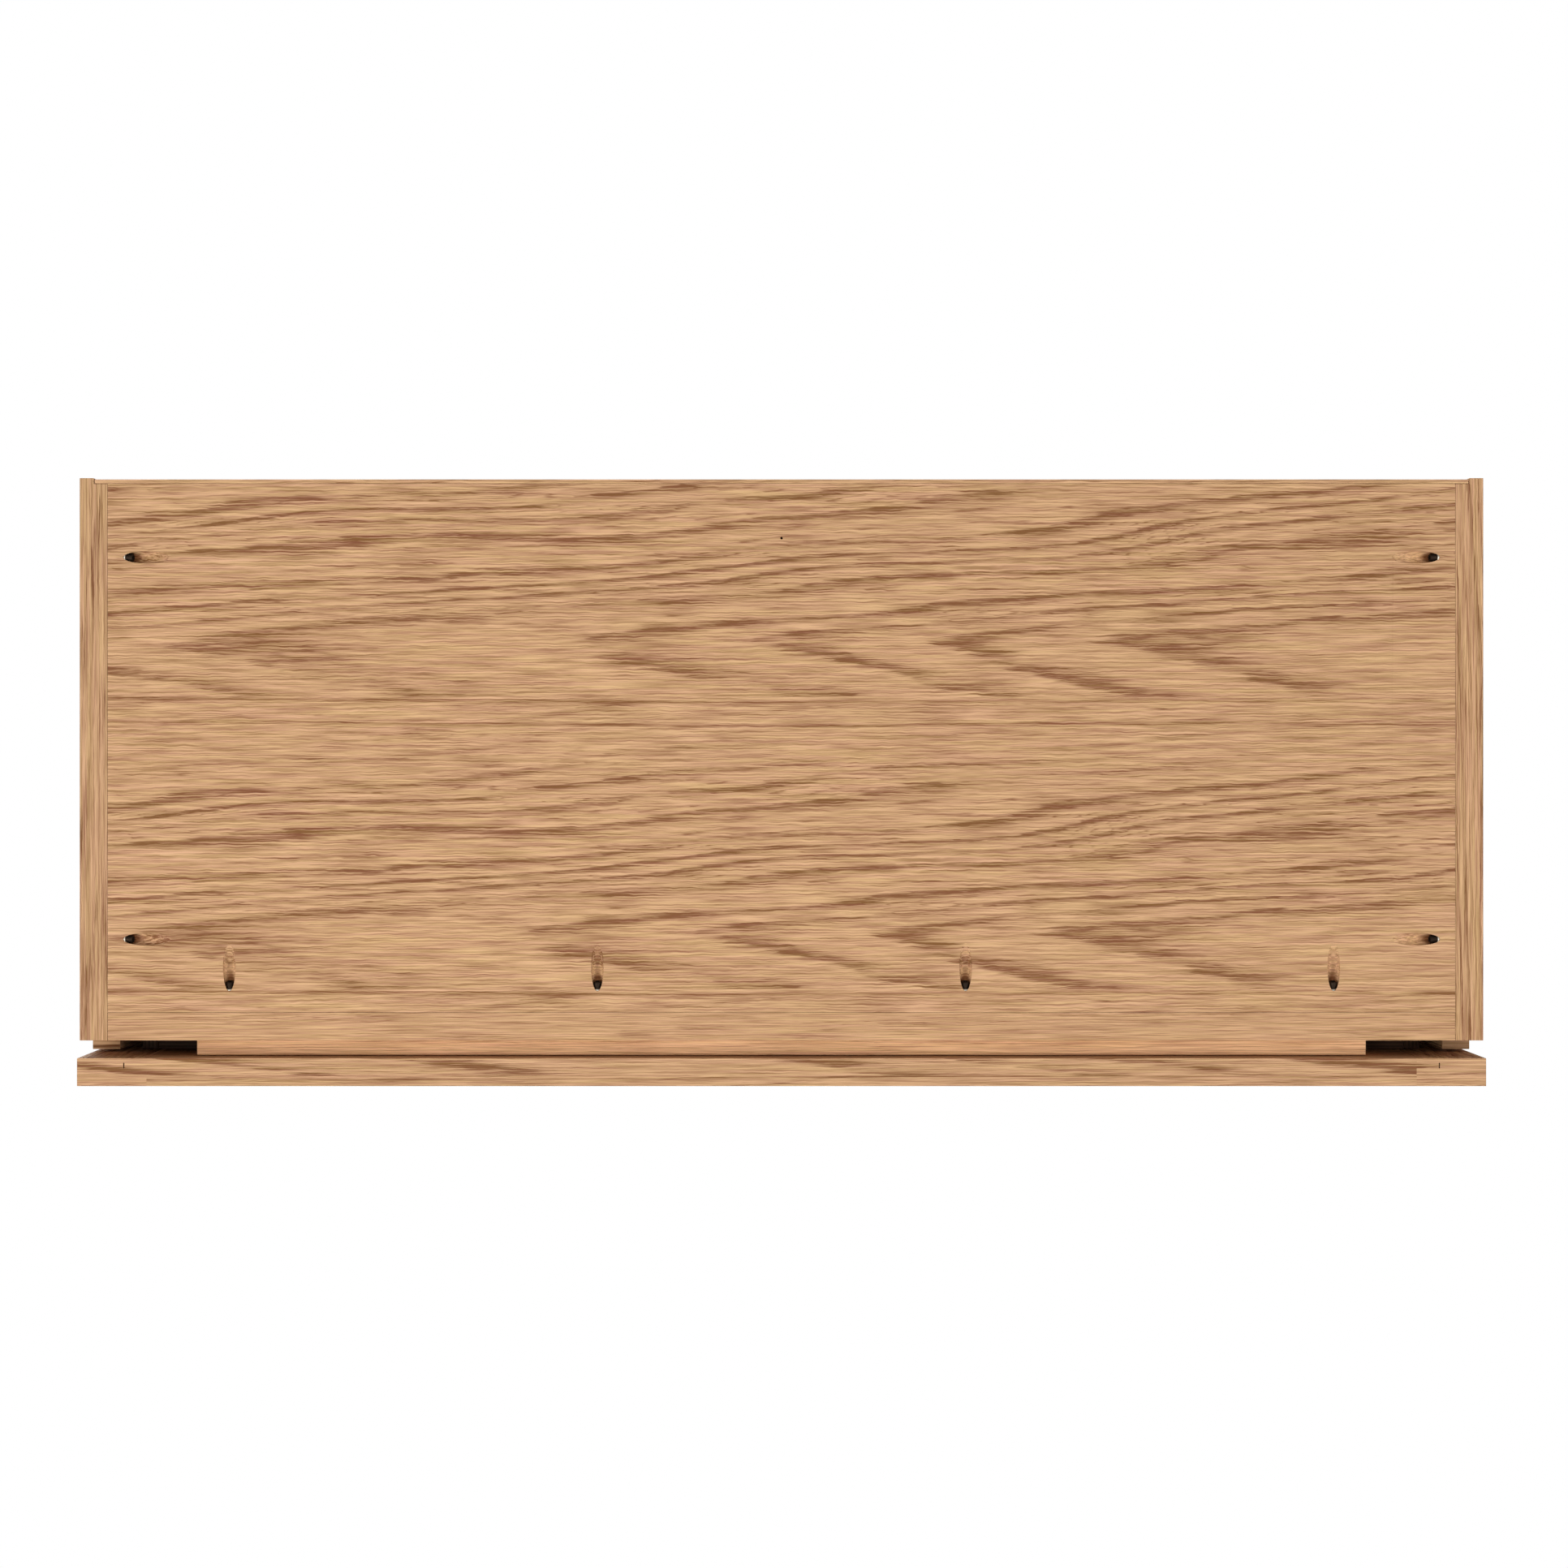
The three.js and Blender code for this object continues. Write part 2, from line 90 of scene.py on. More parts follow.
camera_data = bpy.data.cameras.new("camera")
camera_data.sensor_width = SENSOR
camera_data.lens = SENSOR * CAMERA_DISTANCE / FRAME_WIDTH
camera_data.shift_x, camera_data.shift_y = LENS_SHIFT
camera_data.clip_end = FAR
camera = bpy.data.objects.new("camera", camera_data)
bpy.context.scene.collection.objects.link(camera)
right, up = Vector((-1, 0, 0)), Vector((0, 1, 0))
turn = Matrix((right, up, right.cross(up))).transposed()
place = Vector((CAMERA_SIDE, wall_y - CAMERA_FROM_WALL, underside_z - CAMERA_DISTANCE))
camera.matrix_world = Matrix.Translation(place) @ turn.to_4x4()
bpy.context.scene.camera = camera
print("lens", round(camera_data.lens, 2), "mm, camera at", [round(v, 3) for v in place])

# %% [markdown]
# ## Helpers for node trees
#
# A procedural material is a small program. Written out node by node it is long and hard to read, so these
# helpers make a sum, a smooth step, a noise or a mix in one line each. Every helper returns an output
# socket, which goes straight into the next call.

# %% Node helpers
def feed(tree, socket, value):
    """Links a socket, or sets a plain value."""
    if isinstance(value, bpy.types.NodeSocket):
        tree.links.new(value, socket)
    else:
        socket.default_value = value


def calc(tree, operation, a, b=0.0, c=0.0, clamp=False):
    """One sum of up to three numbers or sockets."""
    node = tree.nodes.new("ShaderNodeMath")
    node.operation = operation
    node.use_clamp = clamp
    for socket, value in zip(node.inputs, (a, b, c)):
        feed(tree, socket, value)
    return node.outputs[0]


def ramp(tree, value, low, high, out_low=0.0, out_high=1.0):
    """A smooth step of value between low and high."""
    node = tree.nodes.new("ShaderNodeMapRange")
    node.interpolation_type = "SMOOTHSTEP"
    for socket, number in zip(node.inputs, (value, low, high, out_low, out_high)):
        feed(tree, socket, number)
    return node.outputs[0]


def stretched(tree, vector, cell):
    """The vector measured in cells of the given size, in metres."""
    node = tree.nodes.new("ShaderNodeVectorMath")
    node.operation = "DIVIDE"
    feed(tree, node.inputs[0], vector)
    node.inputs[1].default_value = cell
    return node.outputs[0]


def noise(tree, vector, cell, detail=2.0, roughness=0.5):
    """A noise whose blots are about as large as the cell."""
    node = tree.nodes.new("ShaderNodeTexNoise")
    feed(tree, node.inputs["Vector"], stretched(tree, vector, cell))
    node.inputs["Scale"].default_value = 1.0
    node.inputs["Detail"].default_value = detail
    node.inputs["Roughness"].default_value = roughness
    return node.outputs["Fac"]


def tint(tree, mode, amount, a, b):
    """Mixes two colours."""
    node = tree.nodes.new("ShaderNodeMix")
    node.data_type = "RGBA"
    node.blend_type = mode
    feed(tree, node.inputs[0], amount)
    feed(tree, node.inputs[6], a)
    feed(tree, node.inputs[7], b)
    return node.outputs[2]


def vector_of(tree, x, y, z):
    """A vector from three numbers or sockets."""
    node = tree.nodes.new("ShaderNodeCombineXYZ")
    for socket, value in zip(node.inputs, (x, y, z)):
        feed(tree, socket, value)
    return node.outputs[0]


def parts_of(tree, vector):
    """The three parts of a vector, as sockets."""
    node = tree.nodes.new("ShaderNodeSeparateXYZ")
    feed(tree, node.inputs[0], vector)
    return node.outputs[0], node.outputs[1], node.outputs[2]


print("helpers ready")


# %% [markdown]
# ## Oak
#
# Flat-sawn oak shows two things at once. Growth rings, cut nearly parallel, make long streaks at the sides
# of a leaf of veneer and pointed arches near its heart line. Inside each ring the open pores are short dark
# dashes that run with the grain. An image could hold both, but it would blur when seen close and repeat
# when seen whole. So the figure is worked out: the rings are the contour lines of a distance from the log's
# heart, bent by slow noise, and the pores are a noise stretched thirty to one that shows most where a ring
# is porous. The face is made of leaves 221 mm wide, laid side by side.
#
# The group takes the grain along X, the width of the board along Y and its depth along Z. Each layer of the
# figure ends as a number between 0 and 1. The layers are weighed and added up as a stain, and the stain
# darkens three tones of bare oak.

# %% Oak group
LEAF = 0.2211  # width of one leaf of veneer
BELOW_HEART = 0.045  # how much of the leaf lies below its heart line
LEAF_SLIP = 0.043  # each leaf is laid a little further along than the last
RING = 0.175  # the distance along the heart line from one year's tip to the next
SLOPE_ABOVE = 12.0  # how far a ring runs along the board while it climbs by one
SLOPE_BELOW = 4.2
TIP_ROUND = 0.007
UNEVEN_YEARS = 0.33  # every other ring is wider
FINE_RINGS = 4.0  # thinner lines in each ring
SEAM_LINES = (0.1735, 0.156)  # where in the leaf they run
CELL = {  # the size of each noise along, across and through the board
    "ripple": (0.011, 0.008, 0.008),  # small waves in every line
    "sway": (0.42, 0.11, 0.11),  # how the heart line drifts
    "years": (0.20, 0.030, 0.05),  # good and poor years
    "fringe": (0.120, 0.0015, 0.0015),  # strands that fray a ring's edges
    "patchy": (0.28, 0.014, 0.03),  # where the bands fade
    "wander": (0.150, 0.006, 0.006),  # how the thinner lines stray
    "showing": (0.150, 0.0055, 0.0055),  # where they show
    "drift": (0.60, 0.40, 0.40),  # how the lines by the seam bend
    "dashes": (0.040, 0.00125, 0.00125),  # pores
    "threads": (0.150, 0.003, 0.003),
    "fibres": (0.055, 0.0017, 0.0017),
    "grit": (0.048, 0.00105, 0.00105),
    "patches": (0.090, 0.003, 0.003),  # pink and honey tones
    "broad": (0.30, 0.050, 0.050),  # where the oak is clean
}
BARE, BAND_STAIN, FINE_STAIN, DASH_STAIN = -0.168, 0.33, 0.42, 0.53
THREAD_STAIN, FIBRE_STAIN, GRIT_STAIN, MOST_STAIN = 0.19, 0.30, 0.58, 1.15
CLEAN_OAK = (0.775, 0.478, 0.264, 1)
PINK_OAK = (0.782, 0.462, 0.272, 1)
HONEY_OAK = (0.770, 0.492, 0.246, 1)
UMBER = (0.32, 0.235, 0.165, 1)
PLUM = (0.33, 0.215, 0.190, 1)


def new_group(name, inputs, outputs):
    tree = bpy.data.node_groups.new(name, "ShaderNodeTree")
    for kind, label, direction in [(*i, "INPUT") for i in inputs] + [(*o, "OUTPUT") for o in outputs]:
        tree.interface.new_socket(label, in_out=direction, socket_type=kind)
    return tree, tree.nodes.new("NodeGroupInput").outputs, tree.nodes.new("NodeGroupOutput").inputs


def centred(tree, vector, cell, detail=2.0, roughness=0.5, gain=1.0):
    """A noise that swings about zero."""
    return calc(tree, "MULTIPLY_ADD", noise(tree, vector, cell, detail, roughness), gain, -0.5 * gain)


def make_oak_group():
    tree, given, result = new_group(
        "oak_grain",
        [("NodeSocketVector", "Grain"), ("NodeSocketFloat", "Figure")],
        [("NodeSocketColor", "Color"), ("NodeSocketFloat", "Roughness"), ("NodeSocketFloat", "Height")],
    )
    along, across, depth = parts_of(tree, given["Grain"])

    # The place in the leaf: 0 on its heart line. Every leaf repeats the first one, slipped along.
    in_leaf = calc(tree, "WRAP", across, LEAF - BELOW_HEART, -BELOW_HEART)
    leaf = calc(tree, "DIVIDE", calc(tree, "SUBTRACT", across, in_leaf), LEAF)
    along = calc(tree, "MULTIPLY_ADD", leaf, LEAF_SLIP, along)
    lie = vector_of(tree, along, in_leaf, depth)
    ripple = centred(tree, lie, CELL["ripple"], 1.0, gain=0.0016)
    lie = vector_of(tree, along, calc(tree, "ADD", in_leaf, ripple), depth)
    sway = centred(tree, lie, CELL["sway"], 1.0, gain=0.060)
    crossing = calc(tree, "ADD", in_leaf, calc(tree, "MULTIPLY", sway, ramp(tree, in_leaf, 0.0, 0.08)))

    # The rings: how far along the heart line this point's own ring has its tip.
    slope = ramp(tree, crossing, -0.006, 0.012, SLOPE_BELOW, SLOPE_ABOVE)
    lift = calc(tree, "SQRT", calc(tree, "MULTIPLY_ADD", crossing, crossing, TIP_ROUND**2))
    tip = calc(tree, "DIVIDE", calc(tree, "MULTIPLY_ADD", lift, slope, along), -RING)
    uneven_years = calc(tree, "COSINE", calc(tree, "MULTIPLY", tip, math.pi / 2))
    rings = calc(tree, "MULTIPLY_ADD", uneven_years, UNEVEN_YEARS, calc(tree, "SUBTRACT", tip, UNEVEN_YEARS))
    rings = calc(tree, "ADD", centred(tree, lie, CELL["years"], 2.0, gain=0.85), rings)
    fringe = centred(tree, lie, CELL["fringe"], 3.0, 0.60, gain=0.40)
    rings = calc(tree, "ADD", fringe, rings)
    phase = calc(tree, "FRACT", rings)
    band = calc(tree, "MULTIPLY", ramp(tree, phase, 0.0, 0.14), ramp(tree, phase, 0.20, 0.58, 1.0, 0.0))

    # The bands come and go along the board, and fade in the calm part of the leaf.
    patchy = ramp(tree, noise(tree, lie, CELL["patchy"], 2.0), 0.32, 0.56, 0.28, 1.0)
    calm = ramp(tree, in_leaf, 0.100, 0.140, 1.0, 0.35)
    band = calc(tree, "MULTIPLY", calc(tree, "MULTIPLY", band, patchy), calm)
    band = calc(tree, "MULTIPLY", band, given["Figure"])

    # Between the rings run thinner lines, side by side, and they come and go too.
    wander = centred(tree, lie, CELL["wander"], 2.0, 0.6, gain=1.3)
    fine_phase = calc(tree, "FRACT", calc(tree, "MULTIPLY_ADD", rings, FINE_RINGS, wander))
    falling = ramp(tree, fine_phase, 0.13, 0.36, 1.0, 0.0)
    fine = calc(tree, "MULTIPLY", ramp(tree, fine_phase, 0.0, 0.10), falling)
    showing = ramp(tree, noise(tree, lie, CELL["showing"], 3.0, 0.6), 0.45, 0.61)
    showing = calc(tree, "MULTIPLY", showing, ramp(tree, in_leaf, -0.004, 0.022, 0.15, 1.0))
    fine = calc(tree, "MULTIPLY", fine, calc(tree, "MULTIPLY", showing, calm))

    # Two hard dark lines run beside each seam.
    by_seam = calc(tree, "ADD", in_leaf, centred(tree, lie, CELL["drift"], 1.0, gain=0.010))
    for place in SEAM_LINES:
        off = calc(tree, "ABSOLUTE", calc(tree, "SUBTRACT", by_seam, place))
        line = calc(tree, "MULTIPLY", ramp(tree, off, 0.0004, 0.0022, 0.8, 0.0), patchy)
        fine = calc(tree, "ADD", fine, line)

    # Pores: long thin dashes, crowded where a ring starts and inside the bands, and few outside them.
    first_row = calc(tree, "MULTIPLY", ramp(tree, phase, 0.0, 0.05), ramp(tree, phase, 0.06, 0.20, 1.0, 0.0))
    dashes = noise(tree, lie, CELL["dashes"], 3.0, 0.65)
    needed = calc(tree, "MULTIPLY_ADD", band, -0.165, 0.652)
    needed = calc(tree, "MULTIPLY_ADD", first_row, -0.060, needed)
    dashes = ramp(tree, calc(tree, "SUBTRACT", dashes, needed), -0.03, 0.13)

    # The plain wood between them is streaked as well, from broad threads down to fine grit.
    threads = ramp(tree, noise(tree, lie, CELL["threads"], 4.0, 0.78), 0.34, 0.66)
    fibres = ramp(tree, noise(tree, lie, CELL["fibres"], 4.0, 0.75), 0.28, 0.72)
    grit = ramp(tree, noise(tree, lie, CELL["grit"], 2.0, 0.6), 0.33, 0.67)

    patches = ramp(tree, noise(tree, lie, CELL["patches"], 3.0, 0.65), 0.34, 0.66)
    broad = ramp(tree, noise(tree, lie, CELL["broad"], 1.0), 0.35, 0.65, 0.0, 0.45)
    colour = tint(tree, "MIX", patches, PINK_OAK, HONEY_OAK)
    colour = tint(tree, "MIX", broad, colour, CLEAN_OAK)

    stain = calc(tree, "MULTIPLY_ADD", band, BAND_STAIN, BARE)
    dash_stain = calc(tree, "MULTIPLY_ADD", band, 0.05, DASH_STAIN)
    weights = FINE_STAIN, dash_stain, THREAD_STAIN, FIBRE_STAIN, GRIT_STAIN
    for layer, weight in zip((fine, dashes, threads, fibres, grit), weights):
        stain = calc(tree, "MULTIPLY_ADD", layer, weight, stain)
    stain = calc(tree, "MINIMUM", calc(tree, "MAXIMUM", stain, 0.0), MOST_STAIN)
    stained = tint(tree, "MULTIPLY", 1.0, colour, tint(tree, "MIX", patches, PLUM, UMBER))
    feed(tree, result["Color"], tint(tree, "MIX", stain, colour, stained))

    feed(tree, result["Roughness"], calc(tree, "MULTIPLY_ADD", stain, 0.18, 0.62))
    dips = calc(tree, "MULTIPLY_ADD", fibres, -0.25, calc(tree, "MULTIPLY", dashes, -1.0))
    feed(tree, result["Height"], dips)
    return tree


oak_group = make_oak_group()
print("oak group:", len(oak_group.nodes), "nodes")

# %% [markdown]
# ## One oak material for each board and grain direction
#
# Two boards never show the same figure, and a board's edge is lipped with a strip whose grain runs along
# that edge. So the group is used through a small function: it turns the object coordinates until the wanted
# axis is the grain, and moves them so that every board takes a different part of the log. The coordinates
# of each object are the frame's own, because every piece sits at the origin.
#
# A turn is named after the grain's axis. On a face that stands upright the leaf has to stand too, or every
# line on the face would lie at the same place in the leaf. Those turns have a second letter, for the axis
# that the leaf's width takes.

# %% Oak materials
GRAIN_TURNS = {
    "X": (0, 0, 0),
    "XZ": (math.pi / 2, 0, 0),
    "Y": (0, 0, -math.pi / 2),
    "Z": (0, math.pi / 2, 0),
    "ZX": tuple(Matrix(((0, 0, 1), (1, 0, 0), (0, 1, 0))).to_euler("XYZ")),
}
FLANK = 0.085  # a place in the leaf where the rings run nearly straight
LACQUER_BUMP = 0.00012
LACQUER_SHINE = 0.06
# The deep ends of the bores are darkened as painted shade, with a little of the bit's burn: the tint below,
# and the height over which it comes in.
BORE_SHADE_AND_SCORCH = (0.42, 0.30, 0.22, 1)
BORE_SHADE_DEPTH = 0.0020  # from no scorch to the full one


def new_material(name):
    """(the material, its node tree, its one shader)"""
    material = bpy.data.materials.new(name)
    material.use_nodes = True
    tree = material.node_tree
    tree.nodes.clear()
    output = tree.nodes.new("ShaderNodeOutputMaterial")
    shader = tree.nodes.new("ShaderNodeBsdfPrincipled")
    tree.links.new(shader.outputs[0], output.inputs["Surface"])
    return material, tree, shader


def placed_coordinates(tree, turn=(0, 0, 0), shift=(0, 0, 0), scale=(1, 1, 1)):
    """The object coordinates, scaled, turned and then moved."""
    coordinates = tree.nodes.new("ShaderNodeTexCoord")
    mapping = tree.nodes.new("ShaderNodeMapping")
    mapping.inputs["Scale"].default_value = scale
    mapping.inputs["Rotation"].default_value = turn
    mapping.inputs["Location"].default_value = shift
    tree.links.new(coordinates.outputs["Object"], mapping.inputs["Vector"])
    return mapping.outputs[0]


def bump(tree, shader, height, distance):
    node = tree.nodes.new("ShaderNodeBump")
    node.inputs["Strength"].default_value = 1.0
    node.inputs["Distance"].default_value = distance
    feed(tree, node.inputs["Height"], height)
    tree.links.new(node.outputs[0], shader.inputs["Normal"])


def oak(name, grain="X", shift=(0, 0, 0), figure=1.0, tone=1.0, fine=1.0, shade_and_scorch_from=None):
    """figure is the strength of the bands. tone above 1 is a paler board, below 1 a darker one. fine above 1
    is a slower-grown, narrower grain. The last argument is the height above which a bore darkens: painted
    shade, with a little of the bit's burn."""
    material, tree, shader = new_material("oak_" + name)
    scale = tuple(1.0 if axis == grain[0] else fine for axis in "XYZ")
    group = tree.nodes.new("ShaderNodeGroup")
    group.node_tree = oak_group
    group.inputs["Figure"].default_value = figure
    feed(tree, group.inputs["Grain"], placed_coordinates(tree, GRAIN_TURNS[grain], shift, scale))
    colour = tint(tree, "MULTIPLY", 1.0, group.outputs["Color"], (tone, tone, tone, 1))
    # Painted shade: a bore darkens with height towards its shoulder, and partly this is the bit's burn too.
    if shade_and_scorch_from is not None:
        coordinates = tree.nodes.new("ShaderNodeTexCoord")
        _, _, height = parts_of(tree, coordinates.outputs["Object"])
        shade_and_scorch = ramp(tree, height, shade_and_scorch_from, shade_and_scorch_from + BORE_SHADE_DEPTH)
        colour = tint(tree, "MIX", shade_and_scorch, colour, tint(tree, "MULTIPLY", 1.0, colour, BORE_SHADE_AND_SCORCH))
    feed(tree, shader.inputs["Base Color"], colour)
    feed(tree, shader.inputs["Roughness"], group.outputs["Roughness"])
    shader.inputs["Specular IOR Level"].default_value = LACQUER_SHINE
    bump(tree, shader, group.outputs["Height"], LACQUER_BUMP)
    return material


print("grain turns:", list(GRAIN_TURNS))

# %% [markdown]
# ## Boards
#
# A board is a box with tiny eased edges. It could be a copy of its CAD node with a bevel, but a pocket bore
# cuts the face at 15 degrees, and a bevel would tear along that mouth. So the board is made new: a cube is
# set to the node's corners, box cutters take the rabbet and the notch, the edges are eased, and only then
# do fine round cutters open the bores, which keeps their mouths crisp.

# %% Board helpers
def as_object(name, bm):
    """A bmesh as an object in the scene."""
    mesh = bpy.data.meshes.new(name)
    bm.to_mesh(mesh)
    bm.free()
    made = bpy.data.objects.new(name, mesh)
    bpy.context.scene.collection.objects.link(made)
    return made


def finished(name, bm, body, materials, stands_for, smooth_angle=None):
    """A bmesh as a finished piece, riding on its body and standing for its CAD nodes."""
    piece = as_object(name, bm)
    for material in materials:
        piece.data.materials.append(material)
    if smooth_angle is not None:
        piece.data.shade_smooth()
        piece.data.set_sharp_from_angle(angle=math.radians(smooth_angle))
    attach(piece, body)
    if stands_for:
        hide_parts(*stands_for)
    return piece


def box_between(bm, lo, hi):
    """A closed box between two corners, in metres."""
    lo, hi = Vector(lo), Vector(hi)
    size, middle = hi - lo, (hi + lo) / 2
    made = bmesh.ops.create_cube(bm, size=1.0)
    bmesh.ops.scale(bm, vec=size, verts=made["verts"])
    bmesh.ops.translate(bm, vec=middle, verts=made["verts"])


def rod_between(bm, start, end, radius, segments=48):
    """A closed cylinder from start to end."""
    axis = Vector(end) - Vector(start)
    turn = Vector((0, 0, 1)).rotation_difference(axis).to_matrix().to_4x4()
    centre = (Vector(end) + Vector(start)) / 2
    bmesh.ops.create_cone(
        bm, cap_ends=True, segments=segments, radius1=radius, radius2=radius,
        depth=axis.length, matrix=Matrix.Translation(centre) @ turn,
    )


def cut(bm, cutters):
    """Takes each cutter, a bmesh, out of the solid."""
    work = as_object("work", bm)
    tools = [as_object("cutter", cutter) for cutter in cutters]
    for tool in tools:
        modifier = work.modifiers.new("cut", "BOOLEAN")
        modifier.operation = "DIFFERENCE"
        modifier.solver = "EXACT"
        modifier.object = tool
    graph = bpy.context.evaluated_depsgraph_get()
    result = bmesh.new()
    result.from_mesh(work.evaluated_get(graph).to_mesh())
    for spare in (work, *tools):
        bpy.data.objects.remove(spare)
    return result


def cutter_box(lo, hi):
    bm = bmesh.new()
    box_between(bm, lo, hi)
    return bm


def cutter_rod(start, end, radius, segments=48):
    bm = bmesh.new()
    rod_between(bm, start, end, radius, segments)
    return bm


def ease(bm, width, where=None, segments=2, sharper_than=50):
    """Rounds the sharp edges. Given a rule, only those whose middle point passes it."""
    edges = [e for e in bm.edges if e.is_manifold and e.calc_face_angle(0) > math.radians(sharper_than)]
    if where:
        edges = [e for e in edges if where((e.verts[0].co + e.verts[1].co) / 2)]
    if not edges:
        return
    bmesh.ops.bevel(
        bm, geom=edges, offset=width, offset_type="OFFSET", segments=segments,
        profile=0.5, material=-1, affect="EDGES", clamp_overlap=True,
    )


def from_planes(value, lo, hi, axis):
    """How far a value is from the nearer of a box's two planes on one axis."""
    return min(abs(value - lo[axis]), abs(value - hi[axis]))


def on_box_edges(lo, hi):
    """A rule for ease: the edge has to lie on two of a box's own planes."""
    return lambda middle: sum(from_planes(middle[i], lo, hi, i) < TOUCH for i in range(3)) >= 2


def close_up(bm, amount, lo, hi):
    """Moves every face of a square-cut piece out, apart from those in the planes of the box."""
    moves = {}
    for vert in bm.verts:
        move = Vector((0, 0, 0))
        for face in vert.link_faces:
            axis = max(range(3), key=lambda i: abs(face.normal[i]))
            if from_planes(face.calc_center_median()[axis], lo, hi, axis) > TOUCH:
                move[axis] = math.copysign(amount, face.normal[axis])
        moves[vert] = move
    for vert, move in moves.items():
        vert.co += move


def lay_grain(bm, rule):
    """The rule gives each face's material number from its normal and centre."""
    for face in bm.faces:
        face.material_index = rule(face.normal, face.calc_center_median())


def copy_of(node):
    """A CAD node's shape, merged, with its flat faces made whole."""
    bm = bmesh.new()
    bm.from_mesh(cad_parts[node].data)
    bmesh.ops.remove_doubles(bm, verts=bm.verts, dist=1e-6)
    bmesh.ops.dissolve_limit(bm, angle_limit=math.radians(1), verts=bm.verts, edges=bm.edges)
    return bm


TOUCH = 0.01 * MM
EASE = 0.35 * MM
SOFT_EASE = 0.8 * MM
TIGHTER = 0.08 * MM  # how much a board is grown into a joint, so that the line it leaves is a hair
print("edges are eased by", round(EASE / MM, 2), "mm")

# %% [markdown]
# ## Pocket bores
#
# A pocket bore is drilled with a stepped bit held at 15 degrees to the board. Its mouth is a long ellipse,
# and it ends in a flat shoulder where the screw's washer seats. The screws' own places tell where the bores
# are: each CAD screw's box gives the direction it points and the washer that the shoulder meets.

# %% Pocket bores
BORE_ANGLE = math.radians(15)
BORE_R = 4.75 * MM
BORE_SHOULDER = 18.0 * MM
BORE_RUN_OUT = 22 * MM  # how far the cutter sticks out of the face
BORE_SETBACK = BORE_R / math.sin(BORE_ANGLE)
PILOT_R = 2.3 * MM
PILOT_LENGTH = 30 * MM
SIDE_TIP = 11.9 * MM  # from the side to the tip of the bore's mouth
RAIL_TIP = 16.3 * MM
inner_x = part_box("side_right")[0].x
rail_back_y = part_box("front_rail")[1].y


def bore_frame(node, face_z):
    """(where the bore's axis meets the face, the direction down the bore) for one screw."""
    lo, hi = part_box(node)
    size, middle = hi - lo, (hi + lo) / 2
    if size.x > size.y:
        sign = math.copysign(1, middle.x)
        heading = Vector((sign, 0, 0))
        start = Vector((sign * (inner_x - SIDE_TIP - BORE_SETBACK), middle.y, face_z))
    else:
        heading = Vector((0, -1, 0))
        start = Vector((middle.x, rail_back_y + RAIL_TIP + BORE_SETBACK, face_z))
    return start, heading * math.cos(BORE_ANGLE) + Vector((0, 0, math.sin(BORE_ANGLE)))


def bore_cutters(start, down):
    """The bore and the pilot hole that runs on from its shoulder."""
    bore = cutter_rod(start - down * BORE_RUN_OUT, start + down * BORE_SHOULDER, BORE_R, 64)
    pilot_start = start + down * (BORE_SHOULDER - MM)
    return [bore, cutter_rod(pilot_start, pilot_start + down * PILOT_LENGTH, PILOT_R, 24)]


bottom_bores = {f"bottom_screw_{i}": bore_frame(f"bottom_screw_{i}", underside_z) for i in range(1, 9)}
shelf_under_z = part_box("bay_shelf")[0].z
shelf_bores = {f"shelf_screw_{i}": bore_frame(f"shelf_screw_{i}", shelf_under_z) for i in range(1, 5)}
print("pocket bores:", len(bottom_bores), "in the bottom,", len(shelf_bores), "in the shelf")

# %% [markdown]
# ## The bottom panel
#
# It is the board that fills the view: one wide face with the full oak figure, eight bores, and one tiny
# mark near the back where the drilling jig was pinned. It is let into its joints by a hair, and its edges
# stay square. The bores have the same oak, but it turns dark towards the shoulder: painted shade, with a
# little of the bit's burn.

# %% Bottom panel
MARK_R = 1.0 * MM
MARK_DEPTH = 9 * MM
MARK_FROM_WALL = 45.4 * MM
BORE_SHADE_START = 5.3 * MM  # above the underside
BOTTOM_SHIFT = (-0.494, 0.1193, 0.345)
lo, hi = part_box("bottom_panel")
grown = Vector((TIGHTER, TIGHTER, 0))
bm = bmesh.new()
box_between(bm, lo - grown, hi + grown)
cutters = [c for bore in bottom_bores.values() for c in bore_cutters(*bore)]
mark = Vector((0, wall_y - MARK_FROM_WALL, underside_z))
cutters.append(cutter_rod(mark - Vector((0, 0, MM)), mark + Vector((0, 0, MARK_DEPTH)), MARK_R, 16))
bm = cut(bm, cutters)
lay_grain(bm, lambda normal, centre: 0 if abs(normal.z) > 0.995 else 1)
bottom_oak = oak("bottom", "X", BOTTOM_SHIFT)
# Painted shade: the walls of the bores and of the jig's mark darken from 5.3 mm up, with a little of the
# bit's burn.
shaded_bore_oak = oak("bottom_bores", "X", BOTTOM_SHIFT, shade_and_scorch_from=underside_z + BORE_SHADE_START)
bottom = finished("bottom_board", bm, "carcass", [bottom_oak, shaded_bore_oak], ["bottom_panel"], 25)
print("bottom board:", len(bottom.data.polygons), "faces")

# %% [markdown]
# ## The sides
#
# The sides are the only carcass boards with a joint worked into them: a rabbet for the back, and a notch
# that makes room for the drawer's front. Their faces carry upright grain, their top and bottom edges are
# lipped along their length, the small ceiling of the notch is lipped crossways, and the front and back
# edges have a strip of their own. So a side has four materials and a rule that gives each face one of them.

# %% Sides
rabbet_front_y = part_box("bottom_panel")[1].y
rail_front_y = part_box("front_rail")[0].y
rail_top_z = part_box("front_rail")[1].z
RABBET = 10.3 * MM
OVER = 2 * MM  # how far a cutter sticks out of a board


def side_grain(normal, centre):
    if normal.z < -0.7:
        return 1 if centre.z < underside_z + MM else 2
    if abs(normal.y) > 0.7:
        return 3
    return 1 if normal.z > 0.7 else 0


